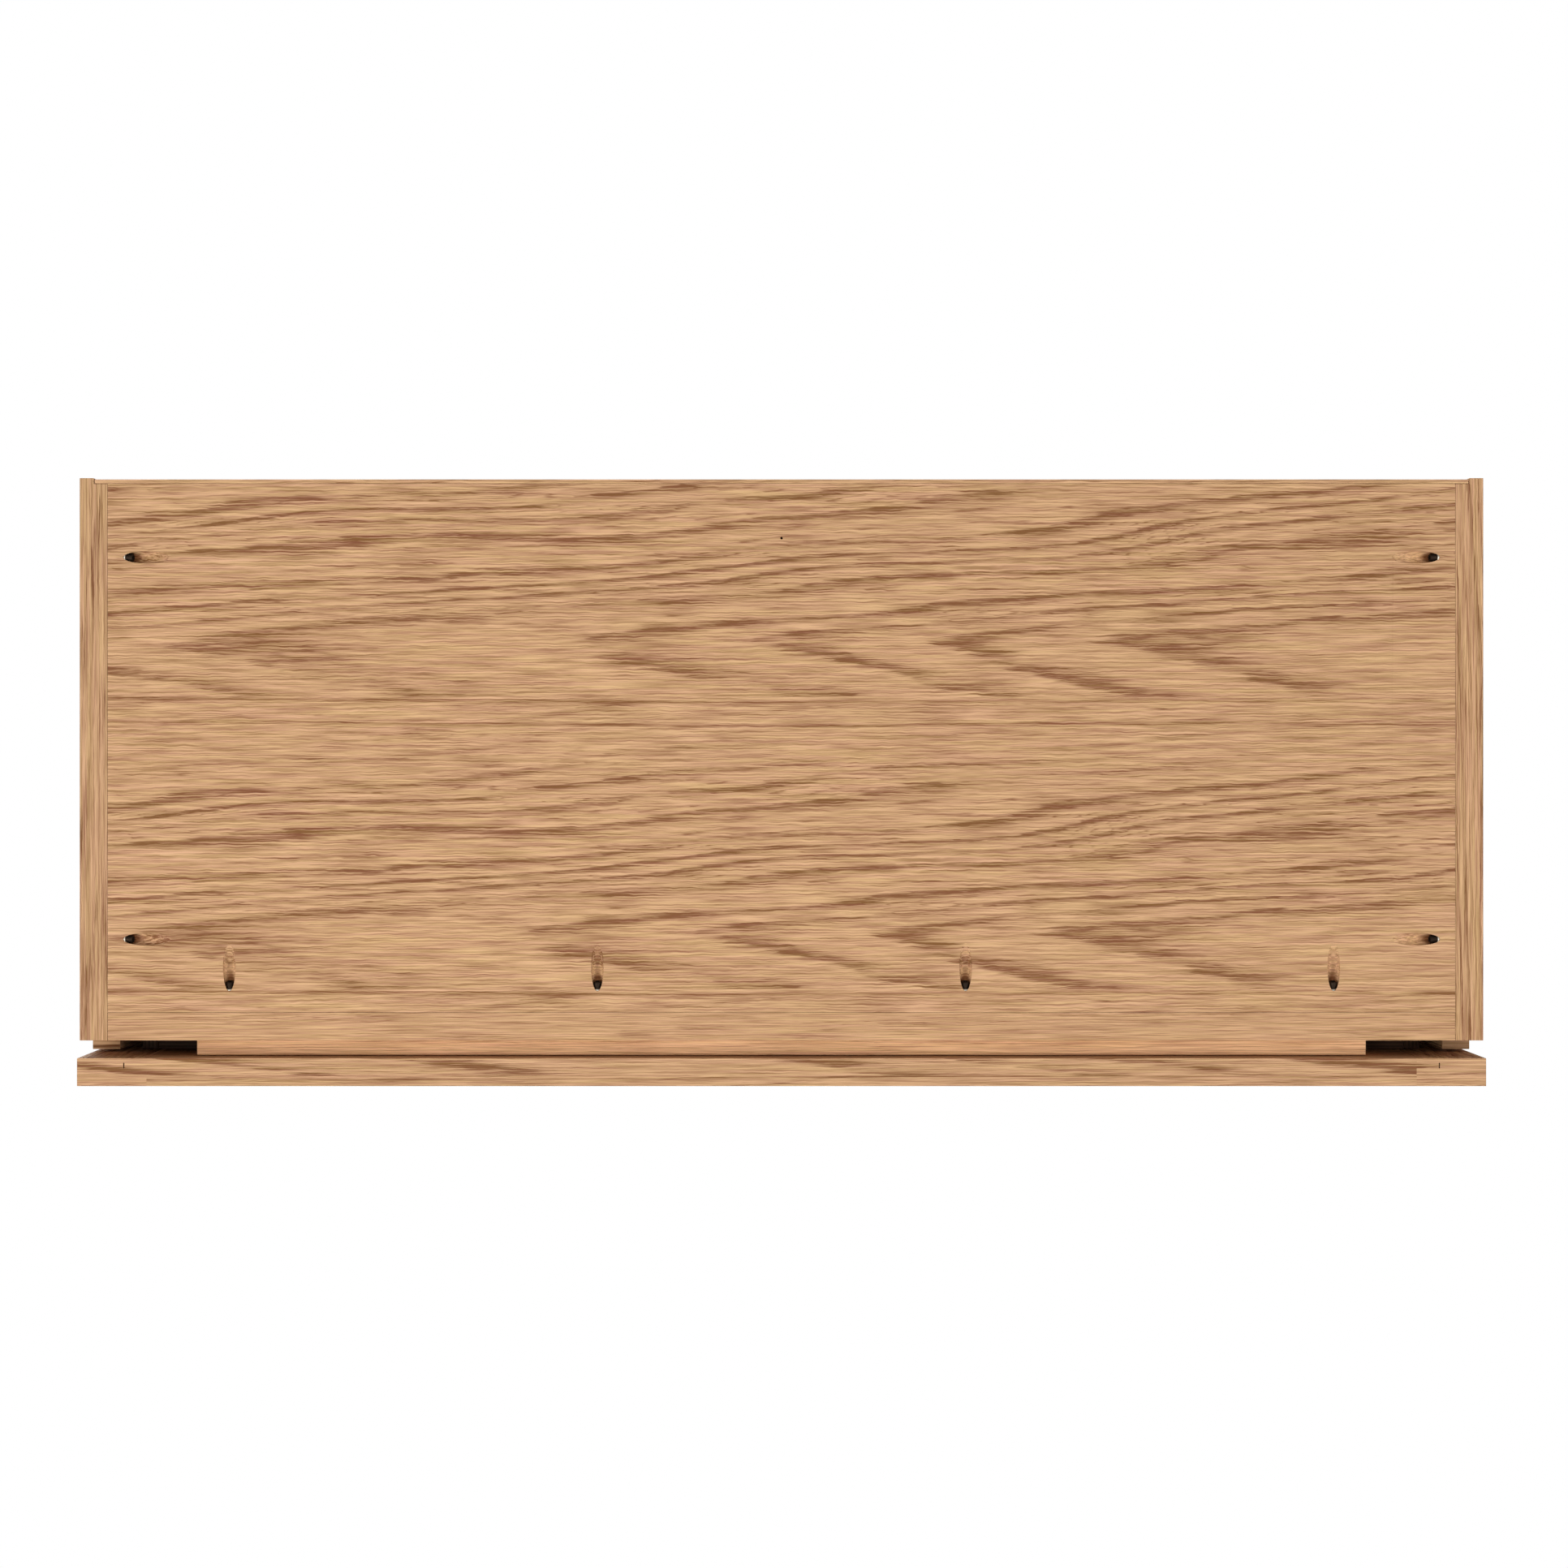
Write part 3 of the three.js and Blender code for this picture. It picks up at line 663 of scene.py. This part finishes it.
for name, sign in SIDES:
    lo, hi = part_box(f"side_{name}")
    bm = bmesh.new()
    box_between(bm, lo, hi)
    reach = sorted((sign * (inner_x - OVER), sign * (inner_x + RABBET)))
    rabbet = cutter_box((reach[0], rabbet_front_y, lo.z - OVER), (reach[1], hi.y + OVER, hi.z + OVER))
    notch = cutter_box((lo.x - OVER, lo.y - OVER, lo.z - OVER), (hi.x + OVER, rail_front_y, rail_top_z))
    bm = cut(bm, [rabbet, notch])
    ease(bm, EASE, lambda middle: abs(middle.x) > inner_x + MM)
    lay_grain(bm, side_grain)
    shift = (0.31 * sign, 0.17 + 0.4 * sign, 0.05)
    lip_shift = (0.9 * sign, 0.140 + 0.9 * sign, 0.2)
    materials = [
        oak(f"side_{name}", "Z", shift, figure=0.9),
        oak(f"side_{name}_lip", "Y", lip_shift, 0.75, 0.955 - 0.035 * sign, fine=1.6),
        # The notch's ceiling has a tone of 0.69, give or take 0.11: painted shade in the recess, deeper on
        # the left side than on the right.
        oak(f"side_{name}_notch", "X", (0.4, 0.061 * sign, 0.02), 1.6, 0.69 + 0.11 * sign, fine=2.5),
        oak(f"side_{name}_edge", "ZX", (0.6 * sign, FLANK - (lo.x + hi.x) / 2, 0.1), 0.6, fine=1.5),
    ]
    side = finished(f"side_board_{name}", bm, "carcass", materials, [f"side_{name}"])
    print(side.name, "has", len(side.data.polygons), "faces")

# %% [markdown]
# ## The other boards of the carcass
#
# All of them but the batten are boxes, some with holes. A box is easiest to make from its two corners, and
# then one call does the rest. The rail and the shelf have a second oak on the edges that face the front and
# the back, the top has a third one on its ends, and the thin back panel has one on its lower edge. The rail
# is eased only along its lower front edge, so that it meets the bottom panel without a groove. The batten
# has a rounded lower edge, so it is a copy of its CAD shape.

# %% Plain boards
GROMMET_HOLE_R = 30 * MM
THIN_EASE = 0.15 * MM
BATTEN_EASE = 0.3 * MM


def plain_board(name, node, materials, rule=None, width=EASE, cutters=(), where=None):
    bm = bmesh.new()
    box_between(bm, *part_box(node))
    ease(bm, width, where)
    if cutters:
        bm = cut(bm, cutters)
    if rule:
        lay_grain(bm, rule)
    finished(name, bm, "carcass", materials, [node], smooth_angle=25 if cutters else None)


def edge_oak(name, node, along, figure=0.6):
    """For a face that stands upright while its grain runs level."""
    lo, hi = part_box(node)
    return oak(name, "XZ", (along, (lo.z + hi.z) / 2 + FLANK, 0.1), figure, fine=1.5)


def facing_y(normal, centre):
    return 1 if abs(normal.y) > 0.7 else 0


def facing_z(normal, centre):
    return 1 if abs(normal.z) > 0.7 else 0


def lower_front(middle):
    return middle.y < rail_front_y + MM and middle.z < underside_z + MM


rail_oaks = [oak("rail", "X", (0.7, 1.36, 0.3), 0.3, 1.01, fine=2.2)]
rail_oaks.append(edge_oak("rail_face", "front_rail", 1.7))
plain_board("rail_board", "front_rail", rail_oaks, facing_y, where=lower_front)
plain_board("hanging_board_upper", "hanging_rail_upper", [oak("hanging", "XZ", (1.9, 0.2, 0.1), 0.6)])
plain_board("hanging_board_lower", "hanging_rail_lower", [oak("lower", "XZ", (2.3, 0.1, 0.4), 0.6)])

bm = copy_of("grip_batten")
ease(bm, BATTEN_EASE, segments=3, sharper_than=60)
# The batten's tone of 1.24 is painted light: it is paler than the other boards to make up for the shade that
# the drawer front throws on it.
batten_oak = oak("batten", "X", (1.3, 1.30, 0.11), 0.15, 1.24, fine=2.5)
finished("batten_board", bm, "carcass", [batten_oak], ["grip_batten"], 30)


def top_grain(normal, centre):
    if abs(normal.x) > 0.7:
        return 1
    return 2 if abs(normal.y) > 0.7 else 0


top_oaks = [oak("top", "X", (0.8, 0.02, 0.7)), oak("top_end", "Y", (0.2, 1.31, 0.62), 0.7)]
top_oaks.append(edge_oak("top_edge", "top_slab", 0.4))
plain_board("top_board", "top_slab", top_oaks, top_grain, width=SOFT_EASE)

shelf_cutters = [c for bore in shelf_bores.values() for c in bore_cutters(*bore)]
shelf_oaks = [oak("shelf", "X", (3.1, 0.07, 0.5)), edge_oak("shelf_edge", "bay_shelf", 2.6)]
plain_board("shelf_board", "bay_shelf", shelf_oaks, facing_y, cutters=shelf_cutters)

back_cutters = []
for name, _ in SIDES:
    middle = sum(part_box(f"cable_grommet_{name}"), Vector()) / 2
    reach = Vector((0, 20 * MM, 0))
    back_cutters.append(cutter_rod(middle - reach, middle + reach, GROMMET_HOLE_R, 96))
back_oaks = [oak("back", "XZ", (2.2, 0.155, 0.21), 0.6), oak("back_edge", "X", (2.2, 0.085, 0.21), 0.4, 1.03)]
plain_board("back_board", "back_panel", back_oaks, facing_z, width=THIN_EASE, cutters=back_cutters)
print("carcass boards done, with", len(back_cutters), "cable holes in the back")

# %% [markdown]
# ## The framed drawer front
#
# Two stiles, two rails and a rebated field panel. They are joined with stub tongues in open grooves, so the
# frame's lower edge shows the joint as a thin stepped line. The shapes come from the CAD, because the joint
# is all about fit: each piece is a merged copy, let out by a hair into its joint and eased along the
# frame's outer edges. A paler strip runs along the front of the stiles' ends, so their faces are split
# where it starts.

# %% Drawer front
FRONT_NODES = ["front_stile_left", "front_stile_right", "front_rail_bottom", "front_rail_top"]
front_boxes = [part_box(node) for node in FRONT_NODES]
front_lo = Vector([min(box[0][i] for box in front_boxes) for i in range(3)])
front_hi = Vector([max(box[1][i] for box in front_boxes) for i in range(3)])
FRONT_TIGHTER = 0.148 * MM  # the same as TIGHTER, for the wider gaps of the frame
SAPWOOD = 7.7 * MM  # the pale strip along the front edge of the stiles' lipping
outside_only = on_box_edges(front_lo, front_hi)


def stile_grain(normal, centre):
    if abs(normal.z) < 0.7:
        return 3 if abs(normal.y) > 0.7 else 0
    return 2 if centre.y < front_lo.y + SAPWOOD else 1


frame_oaks = {
    "bottom": oak("rail_bottom", "X", (1.1, 0.012, 0.9), 1.15, 0.97, fine=1.6),
    "top": oak("rail_top", "X", (2.7, 0.05, 1.1), 1.15, 0.97, fine=1.6),
}
end_oaks = {
    "left": oak("stile_left_end", "X", (-0.63, 0.044, 0.27), 1.15, 0.97, fine=1.7),
    "right": frame_oaks["bottom"],
}
for name, sign in SIDES:
    bm = copy_of(f"front_stile_{name}")
    close_up(bm, FRONT_TIGHTER, front_lo, front_hi)
    ease(bm, EASE, outside_only)
    everything = bm.verts[:] + bm.edges[:] + bm.faces[:]
    bmesh.ops.bisect_plane(bm, geom=everything, plane_co=(0, front_lo.y + SAPWOOD, 0), plane_no=(0, 1, 0))
    lay_grain(bm, stile_grain)
    materials = [
        oak(f"stile_{name}", "Z", (0.5 * sign, 0.11, 1.4 * sign), 0.7),
        end_oaks[name],
        oak(f"stile_{name}_pale", "X", (0.13 * sign, 0.244, 0.27), 0.4, 1.02, fine=1.7),
        oak(f"stile_{name}_face", "ZX", (0.9 * sign, FLANK - sign * front_hi.x, 0.3), 0.8),
    ]
    finished(f"stile_{name}", bm, "drawer", materials, [f"front_stile_{name}"])

for name, rail_oak in frame_oaks.items():
    bm = copy_of(f"front_rail_{name}")
    close_up(bm, FRONT_TIGHTER, front_lo, front_hi)
    ease(bm, EASE, outside_only)
    lay_grain(bm, facing_y)
    face_oak = edge_oak(f"rail_{name}_face", f"front_rail_{name}", 5.2, 0.8)
    finished(f"rail_{name}", bm, "drawer", [rail_oak, face_oak], [f"front_rail_{name}"])

field_lo, field_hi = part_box("front_field")
bm = copy_of("front_field")
field_oak = oak("field", "XZ", (4.1, (field_lo.z + field_hi.z) / 2, 0.3), 0.9)
finished("field_board", bm, "drawer", [field_oak], ["front_field"])
print("front:", [round(v / MM, 1) for v in front_hi - front_lo], "mm")

# %% [markdown]
# ## The drawer box
#
# It is birch plywood, given a near-black colour as painted shade, so that the box reads as the dark inside
# the grips and nothing pale shows up through them. Its edges show the crossed plies as thin stripes. The
# stripes are a wave through the thickness of the sheet, so the same material is right on the faces and on the
# edges.

# %% Plywood
PLY = 1.5 * MM
PLY_BUMP = 0.00006
# Painted shade: the two birch colours are nearly black, so that the box stands for the shade inside the
# grips.
SHADE_BLACK_BIRCH = (0.062, 0.027, 0.013, 1)
SHADE_BLACK_BIRCH_DARK = (0.022, 0.009, 0.004, 1)
THICKNESS_TURNS = {"X": (0, math.pi / 2, 0), "Y": (math.pi / 2, 0, 0), "Z": (0, 0, 0)}


def plywood(name, thickness, shift):
    """thickness is the axis across the plies."""
    material, tree, shader = new_material("birch_" + name)
    place = placed_coordinates(tree, THICKNESS_TURNS[thickness], shift)
    _, _, through = parts_of(tree, place)
    layer = calc(tree, "PINGPONG", through, PLY)
    crossed = ramp(tree, layer, 0.42 * PLY, 0.58 * PLY)
    grain = noise(tree, place, (0.055, 0.0022, 0.0022), 3.0, 0.6)
    cross_grain = noise(tree, place, (0.0012, 0.012, 0.0012), 2.0)
    mottle = noise(tree, place, (0.12, 0.03, 0.03), 2.0)
    stripe = calc(tree, "MULTIPLY", crossed, calc(tree, "MULTIPLY_ADD", cross_grain, 0.5, 0.45))
    shade = calc(tree, "MULTIPLY", mottle, 0.2)
    shade = calc(tree, "MULTIPLY_ADD", ramp(tree, grain, 0.42, 0.70), 0.28, shade)
    shade = calc(tree, "MAXIMUM", shade, stripe, clamp=True)
    feed(tree, shader.inputs["Base Color"], tint(tree, "MIX", shade, SHADE_BLACK_BIRCH, SHADE_BLACK_BIRCH_DARK))
    feed(tree, shader.inputs["Roughness"], calc(tree, "MULTIPLY_ADD", shade, 0.2, 0.45))
    shader.inputs["Specular IOR Level"].default_value = 0.10
    bump(tree, shader, grain, PLY_BUMP)
    return material


print("one ply is", round(PLY / MM, 2), "mm")

# %% [markdown]
# ## The sheets of the box
#
# Five sheets: two sides and the front and back between them, with the floor let in below. Their grooves are
# in the CAD already, so each sheet is a merged copy with eased edges, and the plies are laid to start at
# its own lower face.

# %% Drawer box
SHEET_EASE = 0.4 * MM


def box_piece(name, node, thickness):
    """The plies are phased so that the sheet's lower face is the middle of a pale one."""
    lo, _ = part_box(node)
    start = {"X": -lo.x, "Y": lo.y, "Z": -lo.z}[thickness]
    bm = copy_of(node)
    ease(bm, SHEET_EASE)
    finished(name, bm, "drawer", [plywood(name, thickness, (0, 0, start))], [node])


for name, _ in SIDES:
    box_piece(f"drawer_side_{name}", f"box_side_{name}", "X")
box_piece("drawer_inner_front", "box_front", "Y")
box_piece("drawer_back", "box_back", "Y")
box_piece("drawer_floor", "box_floor", "Z")
print("drawer box made")

# %% [markdown]
# ## Screws
#
# Runners, cages and screws are steel, and one function makes them all. Real steel is never even: the
# plating or the oxide is cloudy, and handling leaves scratches that run one way. So a slow noise changes
# the colour and the roughness, and a fine one, stretched along an axis, scratches the surface. The screws
# are blackened, and their washers' rims get a bright copy of the steel as a painted highlight.

# %% Steel
def steel(name, colour, along, scratch_cell, roughness):
    """Steel with a cloudy finish and faint scratches along one axis."""
    material, tree, shader = new_material(name)
    place = placed_coordinates(tree, GRAIN_TURNS[along])
    scratches = noise(tree, place, scratch_cell, 3.0, 0.6)
    clouds = noise(tree, place, (0.011, 0.007, 0.007), 3.0, 0.6)
    dull = tuple(c * 0.72 for c in colour[:3]) + (1,)
    feed(tree, shader.inputs["Base Color"], tint(tree, "MIX", ramp(tree, clouds, 0.3, 0.7), colour, dull))
    rough = calc(tree, "MULTIPLY_ADD", clouds, 0.22, roughness)
    feed(tree, shader.inputs["Roughness"], calc(tree, "MULTIPLY_ADD", scratches, 0.12, rough))
    shader.inputs["Metallic"].default_value = 1.0
    bump(tree, shader, scratches, 0.00001)
    return material


SCREW_SCRATCH = (0.002, 0.0005, 0.0005)
screw_dark = steel("screw_oiled_black", (0.050, 0.034, 0.024, 1), "X", SCREW_SCRATCH, 0.46)
# Painted highlight: a pale warm copy of the steel for the washers' rims.
screw_rim_highlight = steel("screw_washer_rim_highlight", (0.86, 0.76, 0.62, 1), "X", SCREW_SCRATCH, 0.34)
print(screw_dark.name, screw_rim_highlight.name)

# %% [markdown]
# ## The screws
#
# A pocket screw has a small pan head on a broad fixed washer. The CAD leaves its drive and its threads out,
# so each screw is made new by spinning half of its outline round its axis, with a square socket cut into
# the head. Its threads are rings, not a helix. One outline does for all sixteen: the four in the drawer's
# front just have a thinner head and a shorter shank.

# %% Screw shape
PAN_R = 3.0 * MM
# Painted highlight: the washer's rim, from this radius outwards, gets the bright copy of the steel.
HIGHLIGHT_RIM_FROM = 3.2 * MM  # from here outwards the washer is bright
POCKET_HEAD, POCKET_SHANK = 5.0 * MM, 28.6 * MM
FIXING_HEAD, FIXING_SHANK = 1.8 * MM, 21.6 * MM
SEAT_GAP = 0.3 * MM
DRIVE_HALF = 1.3 * MM
DRIVE_DEPTH = 2.6 * MM
WASHER = 1.2 * MM
WASHER_R = 4.4 * MM
SHANK_R = 1.9 * MM
THREAD_R = 2.05 * MM
THREAD_PITCH = 1.6 * MM


def screw_outline(head, shank):
    """Half of the screw's outline as (radius, height) with the washer's seat at 0 and the point below."""
    top = WASHER + head
    rounding = 0.35 * min(head, PAN_R)
    points = [(0, top), (PAN_R - rounding, top)]
    for step in range(1, 4):
        angle = step / 4 * math.pi / 2
        out, up = rounding * math.sin(angle), rounding * math.cos(angle)
        points.append((PAN_R - rounding + out, top - rounding + up))
    points += [(PAN_R, top - rounding), (PAN_R, WASHER), (WASHER_R - 0.3 * MM, WASHER - 0.05 * MM)]
    points += [(WASHER_R, WASHER - 0.4 * MM), (WASHER_R, 0.2 * MM), (WASHER_R - 0.2 * MM, 0), (SHANK_R, 0)]
    core = 0.72 * SHANK_R
    for index in range(int((shank - 8 * MM) / THREAD_PITCH)):
        z = -4 * MM - index * THREAD_PITCH
        points += [(core, z), (THREAD_R, z - 0.35 * THREAD_PITCH), (core, z - 0.7 * THREAD_PITCH)]
    points.append((0, -shank))
    return points


def make_screw(name, node, seat, up, body, head, shank):
    """up points from the washer's seat out through the head."""
    bm = bmesh.new()
    profile = [bm.verts.new((radius, 0, height)) for radius, height in screw_outline(head, shank)]
    edges = [bm.edges.new(pair) for pair in zip(profile, profile[1:])]
    bmesh.ops.spin(
        bm, geom=profile + edges, cent=(0, 0, 0), axis=(0, 0, 1), angle=2 * math.pi, steps=24, use_merge=True
    )
    bmesh.ops.remove_doubles(bm, verts=bm.verts, dist=1e-7)
    bmesh.ops.recalc_face_normals(bm, faces=bm.faces)
    top = WASHER + head
    depth = min(DRIVE_DEPTH, head + 0.2 * MM)
    socket = cutter_box((-DRIVE_HALF, -DRIVE_HALF, top - depth), (DRIVE_HALF, DRIVE_HALF, top + MM))
    bm = cut(bm, [socket])
    # Faces beyond the rim radius take the second material, the painted highlight.
    lay_grain(bm, lambda normal, centre: 1 if math.hypot(centre.x, centre.y) > HIGHLIGHT_RIM_FROM else 0)
    turn = Vector((0, 0, 1)).rotation_difference(up).to_matrix().to_4x4()
    bmesh.ops.transform(bm, matrix=Matrix.Translation(seat) @ turn, verts=bm.verts)
    finished(name, bm, body, [screw_dark, screw_rim_highlight], [node], smooth_angle=35)


for bores in (bottom_bores, shelf_bores):
    for node, (start, down) in bores.items():
        seat = start + down * (BORE_SHOULDER - SEAT_GAP)
        make_screw("pocket_" + node, node, seat, -down, "carcass", POCKET_HEAD, POCKET_SHANK)
for index in range(1, 5):
    node = f"front_fixing_screw_{index}"
    lo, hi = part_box(node)
    seat = Vector(((lo.x + hi.x) / 2, hi.y - WASHER - FIXING_HEAD, (lo.z + hi.z) / 2))
    make_screw("fixing_" + node, node, seat, Vector((0, 1, 0)), "drawer", FIXING_HEAD, FIXING_SHANK)
print("pocket screws:", len(bottom_bores) + len(shelf_bores))

# %% [markdown]
# ## Runners
#
# A telescopic runner is three channels pressed from sheet, with balls between them that a cage keeps apart.
# The CAD's channels and cages have the true section, so they stay, and only get zinc-plated steel.

# %% Channels and cages
runner_steel = steel("runner_zinc", (0.66, 0.67, 0.69, 1), "Y", (0.05, 0.0004, 0.0004), 0.22)
cage_steel = steel("cage_zinc", (0.50, 0.51, 0.53, 1), "Y", (0.03, 0.0005, 0.0005), 0.34)
ball_steel = steel("ball_polished", (0.74, 0.75, 0.77, 1), "Y", (0.001, 0.001, 0.001), 0.06)


def show_node(node, material):
    """A CAD node stays, with a better material in its slots."""
    mesh_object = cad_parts[node]
    if not mesh_object.material_slots:
        mesh_object.data.materials.append(material)
    for material_slot in mesh_object.material_slots:
        material_slot.material = material


for name, _ in SIDES:
    for part in ("runner_cabinet", "runner_middle", "runner_drawer"):
        show_node(f"{part}_{name}", runner_steel)
    for part in ("ball_cage_outer", "ball_cage_inner"):
        show_node(f"{part}_{name}", cage_steel)
lo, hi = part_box("runner_cabinet_left")
print("cabinet channel:", [round(v / MM, 1) for v in hi - lo], "mm")

# %% [markdown]
# ## The balls
#
# Each cage holds one row of balls above and one below. They are small spheres in one mesh for each cage,
# and the mesh rides with its cage, so the balls travel at a quarter or three quarters of the drawer's own
# way.

# %% Balls
BALL_R = 1.4 * MM
BALL_PITCH = 19 * MM
TRACKS = {"outer": (20.1 * MM, 7.4 * MM), "inner": (15.9 * MM, 8.6 * MM)}  # (from the middle, from the side)


def add_balls(kind, name, sign):
    """Both rows of balls in one cage."""
    track_half, from_side = TRACKS[kind]
    cage_lo, cage_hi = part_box(f"ball_cage_{kind}_{name}")
    middle_z = (cage_lo.z + cage_hi.z) / 2
    x = sign * (inner_x - from_side)
    count = int((cage_hi.y - cage_lo.y - BALL_PITCH) / BALL_PITCH) + 1
    first = (cage_hi.y + cage_lo.y) / 2 - (count - 1) * BALL_PITCH / 2
    bm = bmesh.new()
    for index in range(count):
        for row in (-1, 1):
            place = Vector((x, first + index * BALL_PITCH, middle_z + row * track_half))
            bmesh.ops.create_icosphere(bm, subdivisions=2, radius=BALL_R, matrix=Matrix.Translation(place))
    finished(f"balls_{kind}_{name}", bm, f"ball_cage_{kind}_{name}", [ball_steel], [], 60)
    return 2 * count


for name, sign in SIDES:
    print("balls on the", name, [add_balls(kind, name, sign) for kind in TRACKS])

# %% [markdown]
# ## Plastic and gel
#
# The grommets are moulded in black plastic with a fine texture, and they keep their CAD shape. The bumpers
# are made of a clear gel, which lets a little light in.

# %% Small materials
def moulded_black():
    material, tree, shader = new_material("grommet_black")
    place = placed_coordinates(tree)
    texture = noise(tree, place, (0.0006, 0.0006, 0.0006), 2.0)
    wear = noise(tree, place, (0.015, 0.015, 0.015), 3.0)
    black, worn = (0.014, 0.014, 0.015, 1), (0.030, 0.029, 0.028, 1)
    feed(tree, shader.inputs["Base Color"], tint(tree, "MIX", wear, black, worn))
    feed(tree, shader.inputs["Roughness"], calc(tree, "MULTIPLY_ADD", texture, 0.25, 0.38))
    bump(tree, shader, texture, 0.00005)
    return material


def soft_gel():
    material, tree, shader = new_material("bumper_gel")
    haze = noise(tree, placed_coordinates(tree), (0.002, 0.002, 0.002), 2.0)
    clear, dim = (0.74, 0.72, 0.66, 1), (0.62, 0.60, 0.55, 1)
    feed(tree, shader.inputs["Base Color"], tint(tree, "MIX", haze, clear, dim))
    feed(tree, shader.inputs["Roughness"], calc(tree, "MULTIPLY_ADD", haze, 0.2, 0.18))
    shader.inputs["Subsurface Weight"].default_value = 0.4
    shader.inputs["Subsurface Scale"].default_value = 0.002
    return material


grommet_black = moulded_black()
bumper_gel = soft_gel()
for name, _ in SIDES:
    show_node(f"cable_grommet_{name}", grommet_black)
print(grommet_black.name, bumper_gel.name)

# %% [markdown]
# ## Bumpers and dowels
#
# A bumper is a short rod, and the rim that meets the cabinet is rounded into a dome. The dowels hold the
# top. They only show when the cabinet is taken apart, so they keep their CAD shape and get a plain beech,
# which is the oak group with hardly any figure.

# %% Bumpers and dowels
DOME = 0.9 * MM
for name, _ in SIDES:
    lo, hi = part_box(f"bumper_{name}")
    middle = (lo + hi) / 2
    bm = bmesh.new()
    rod_between(bm, (middle.x, lo.y, middle.z), (middle.x, hi.y, middle.z), (hi.x - lo.x) / 2, 40)
    rim = [e for e in bm.edges if all(v.co.y > middle.y for v in e.verts)]
    bmesh.ops.bevel(
        bm, geom=rim, offset=DOME, offset_type="OFFSET", segments=4, profile=0.5, material=-1, affect="EDGES"
    )
    finished(f"bumper_dome_{name}", bm, "drawer", [bumper_gel], [f"bumper_{name}"], 40)

beech = oak("beech", "Z", (0.3, 0.9, 0.2), figure=0.2, tone=1.05)
for name, _ in SIDES:
    for index in range(1, 4):
        show_node(f"top_dowel_{name}_{index}", beech)
print("bumpers:", len(SIDES), "dowels:", 3 * len(SIDES))

# %% [markdown]
# ## Floor, light and world
#
# The cabinet hangs in a white studio. The world is plain white to the camera, but gives less than half of
# that as light, evenly from all around. Soft lamps below add a little direction, which is what makes the
# bores and the joints read, and the ones in front, above and behind light the sides that are seen from
# elsewhere. The pale floor lies far below, under the camera. It glows for the camera only: it looks pale
# from above, and yet it throws no extra light up at the underside.

# %% Stage
FLOOR_DROP = 3.4  # from the underside
FLOOR_HALF = 30.0
FLOOR_GLOW = 0.5
FLOOR_PALE, FLOOR_CLOUD = (0.66, 0.66, 0.65, 1), (0.61, 0.61, 0.60, 1)
WHITE = (1, 1, 1, 1)
WORLD_LIGHT = 0.42
LAMPS = (  # name, place from the cabinet's middle, size, watts
    ("below_key", (3.2, -1.3, -2.7), 1.3, 60),
    ("below_fill", (-3.3, -0.4, -2.7), 1.5, 53),
    ("below_near", (0.45, -0.35, -2.55), 0.5, 14),
    ("front_key", (-1.6, -2.6, 1.4), 1.6, 60),
    ("top_fill", (1.2, 0.6, 2.6), 1.8, 40),
    ("back_fill", (0.9, 2.9, 1.5), 1.8, 45),
)


def make_floor():
    bm = bmesh.new()
    bmesh.ops.create_grid(bm, x_segments=1, y_segments=1, size=FLOOR_HALF)
    bmesh.ops.translate(bm, vec=(0, 0, underside_z - FLOOR_DROP), verts=bm.verts)
    floor = as_object("floor", bm)
    material, tree, shader = new_material("floor_pale")
    cloud = noise(tree, placed_coordinates(tree), (0.8, 0.8, 0.8), 3.0)
    feed(tree, shader.inputs["Base Color"], tint(tree, "MIX", cloud, FLOOR_PALE, FLOOR_CLOUD))
    shader.inputs["Roughness"].default_value = 0.8
    seen = tree.nodes.new("ShaderNodeLightPath").outputs["Is Camera Ray"]
    shader.inputs["Emission Color"].default_value = WHITE
    feed(tree, shader.inputs["Emission Strength"], calc(tree, "MULTIPLY", seen, FLOOR_GLOW))
    floor.data.materials.append(material)


def soft_lamp(name, place, target, size, power):
    """A round lamp that faces the target."""
    data = bpy.data.lights.new(name, "AREA")
    data.shape = "DISK"
    data.size = size
    data.energy = power
    lamp = bpy.data.objects.new(name, data)
    bpy.context.scene.collection.objects.link(lamp)
    lamp.location = place
    lamp.rotation_euler = (Vector(target) - Vector(place)).to_track_quat("-Z", "Y").to_euler()


make_floor()
middle = (cad_lo + cad_hi) / 2
for name, offset, size, power in LAMPS:
    soft_lamp(name, middle + Vector(offset), middle, size, power)

world = bpy.data.worlds.new("studio")
world.use_nodes = True
tree = world.node_tree
background = tree.nodes["Background"]
background.inputs["Color"].default_value = WHITE
seen = tree.nodes.new("ShaderNodeLightPath").outputs["Is Camera Ray"]
strength = calc(tree, "MULTIPLY_ADD", seen, 1.0 - WORLD_LIGHT, WORLD_LIGHT)
feed(tree, background.inputs["Strength"], strength)
bpy.context.scene.world = world
bpy.context.scene.view_settings.view_transform = "Standard"
bpy.context.scene.view_settings.look = "None"
print("lamps:", [lamp[0] for lamp in LAMPS])
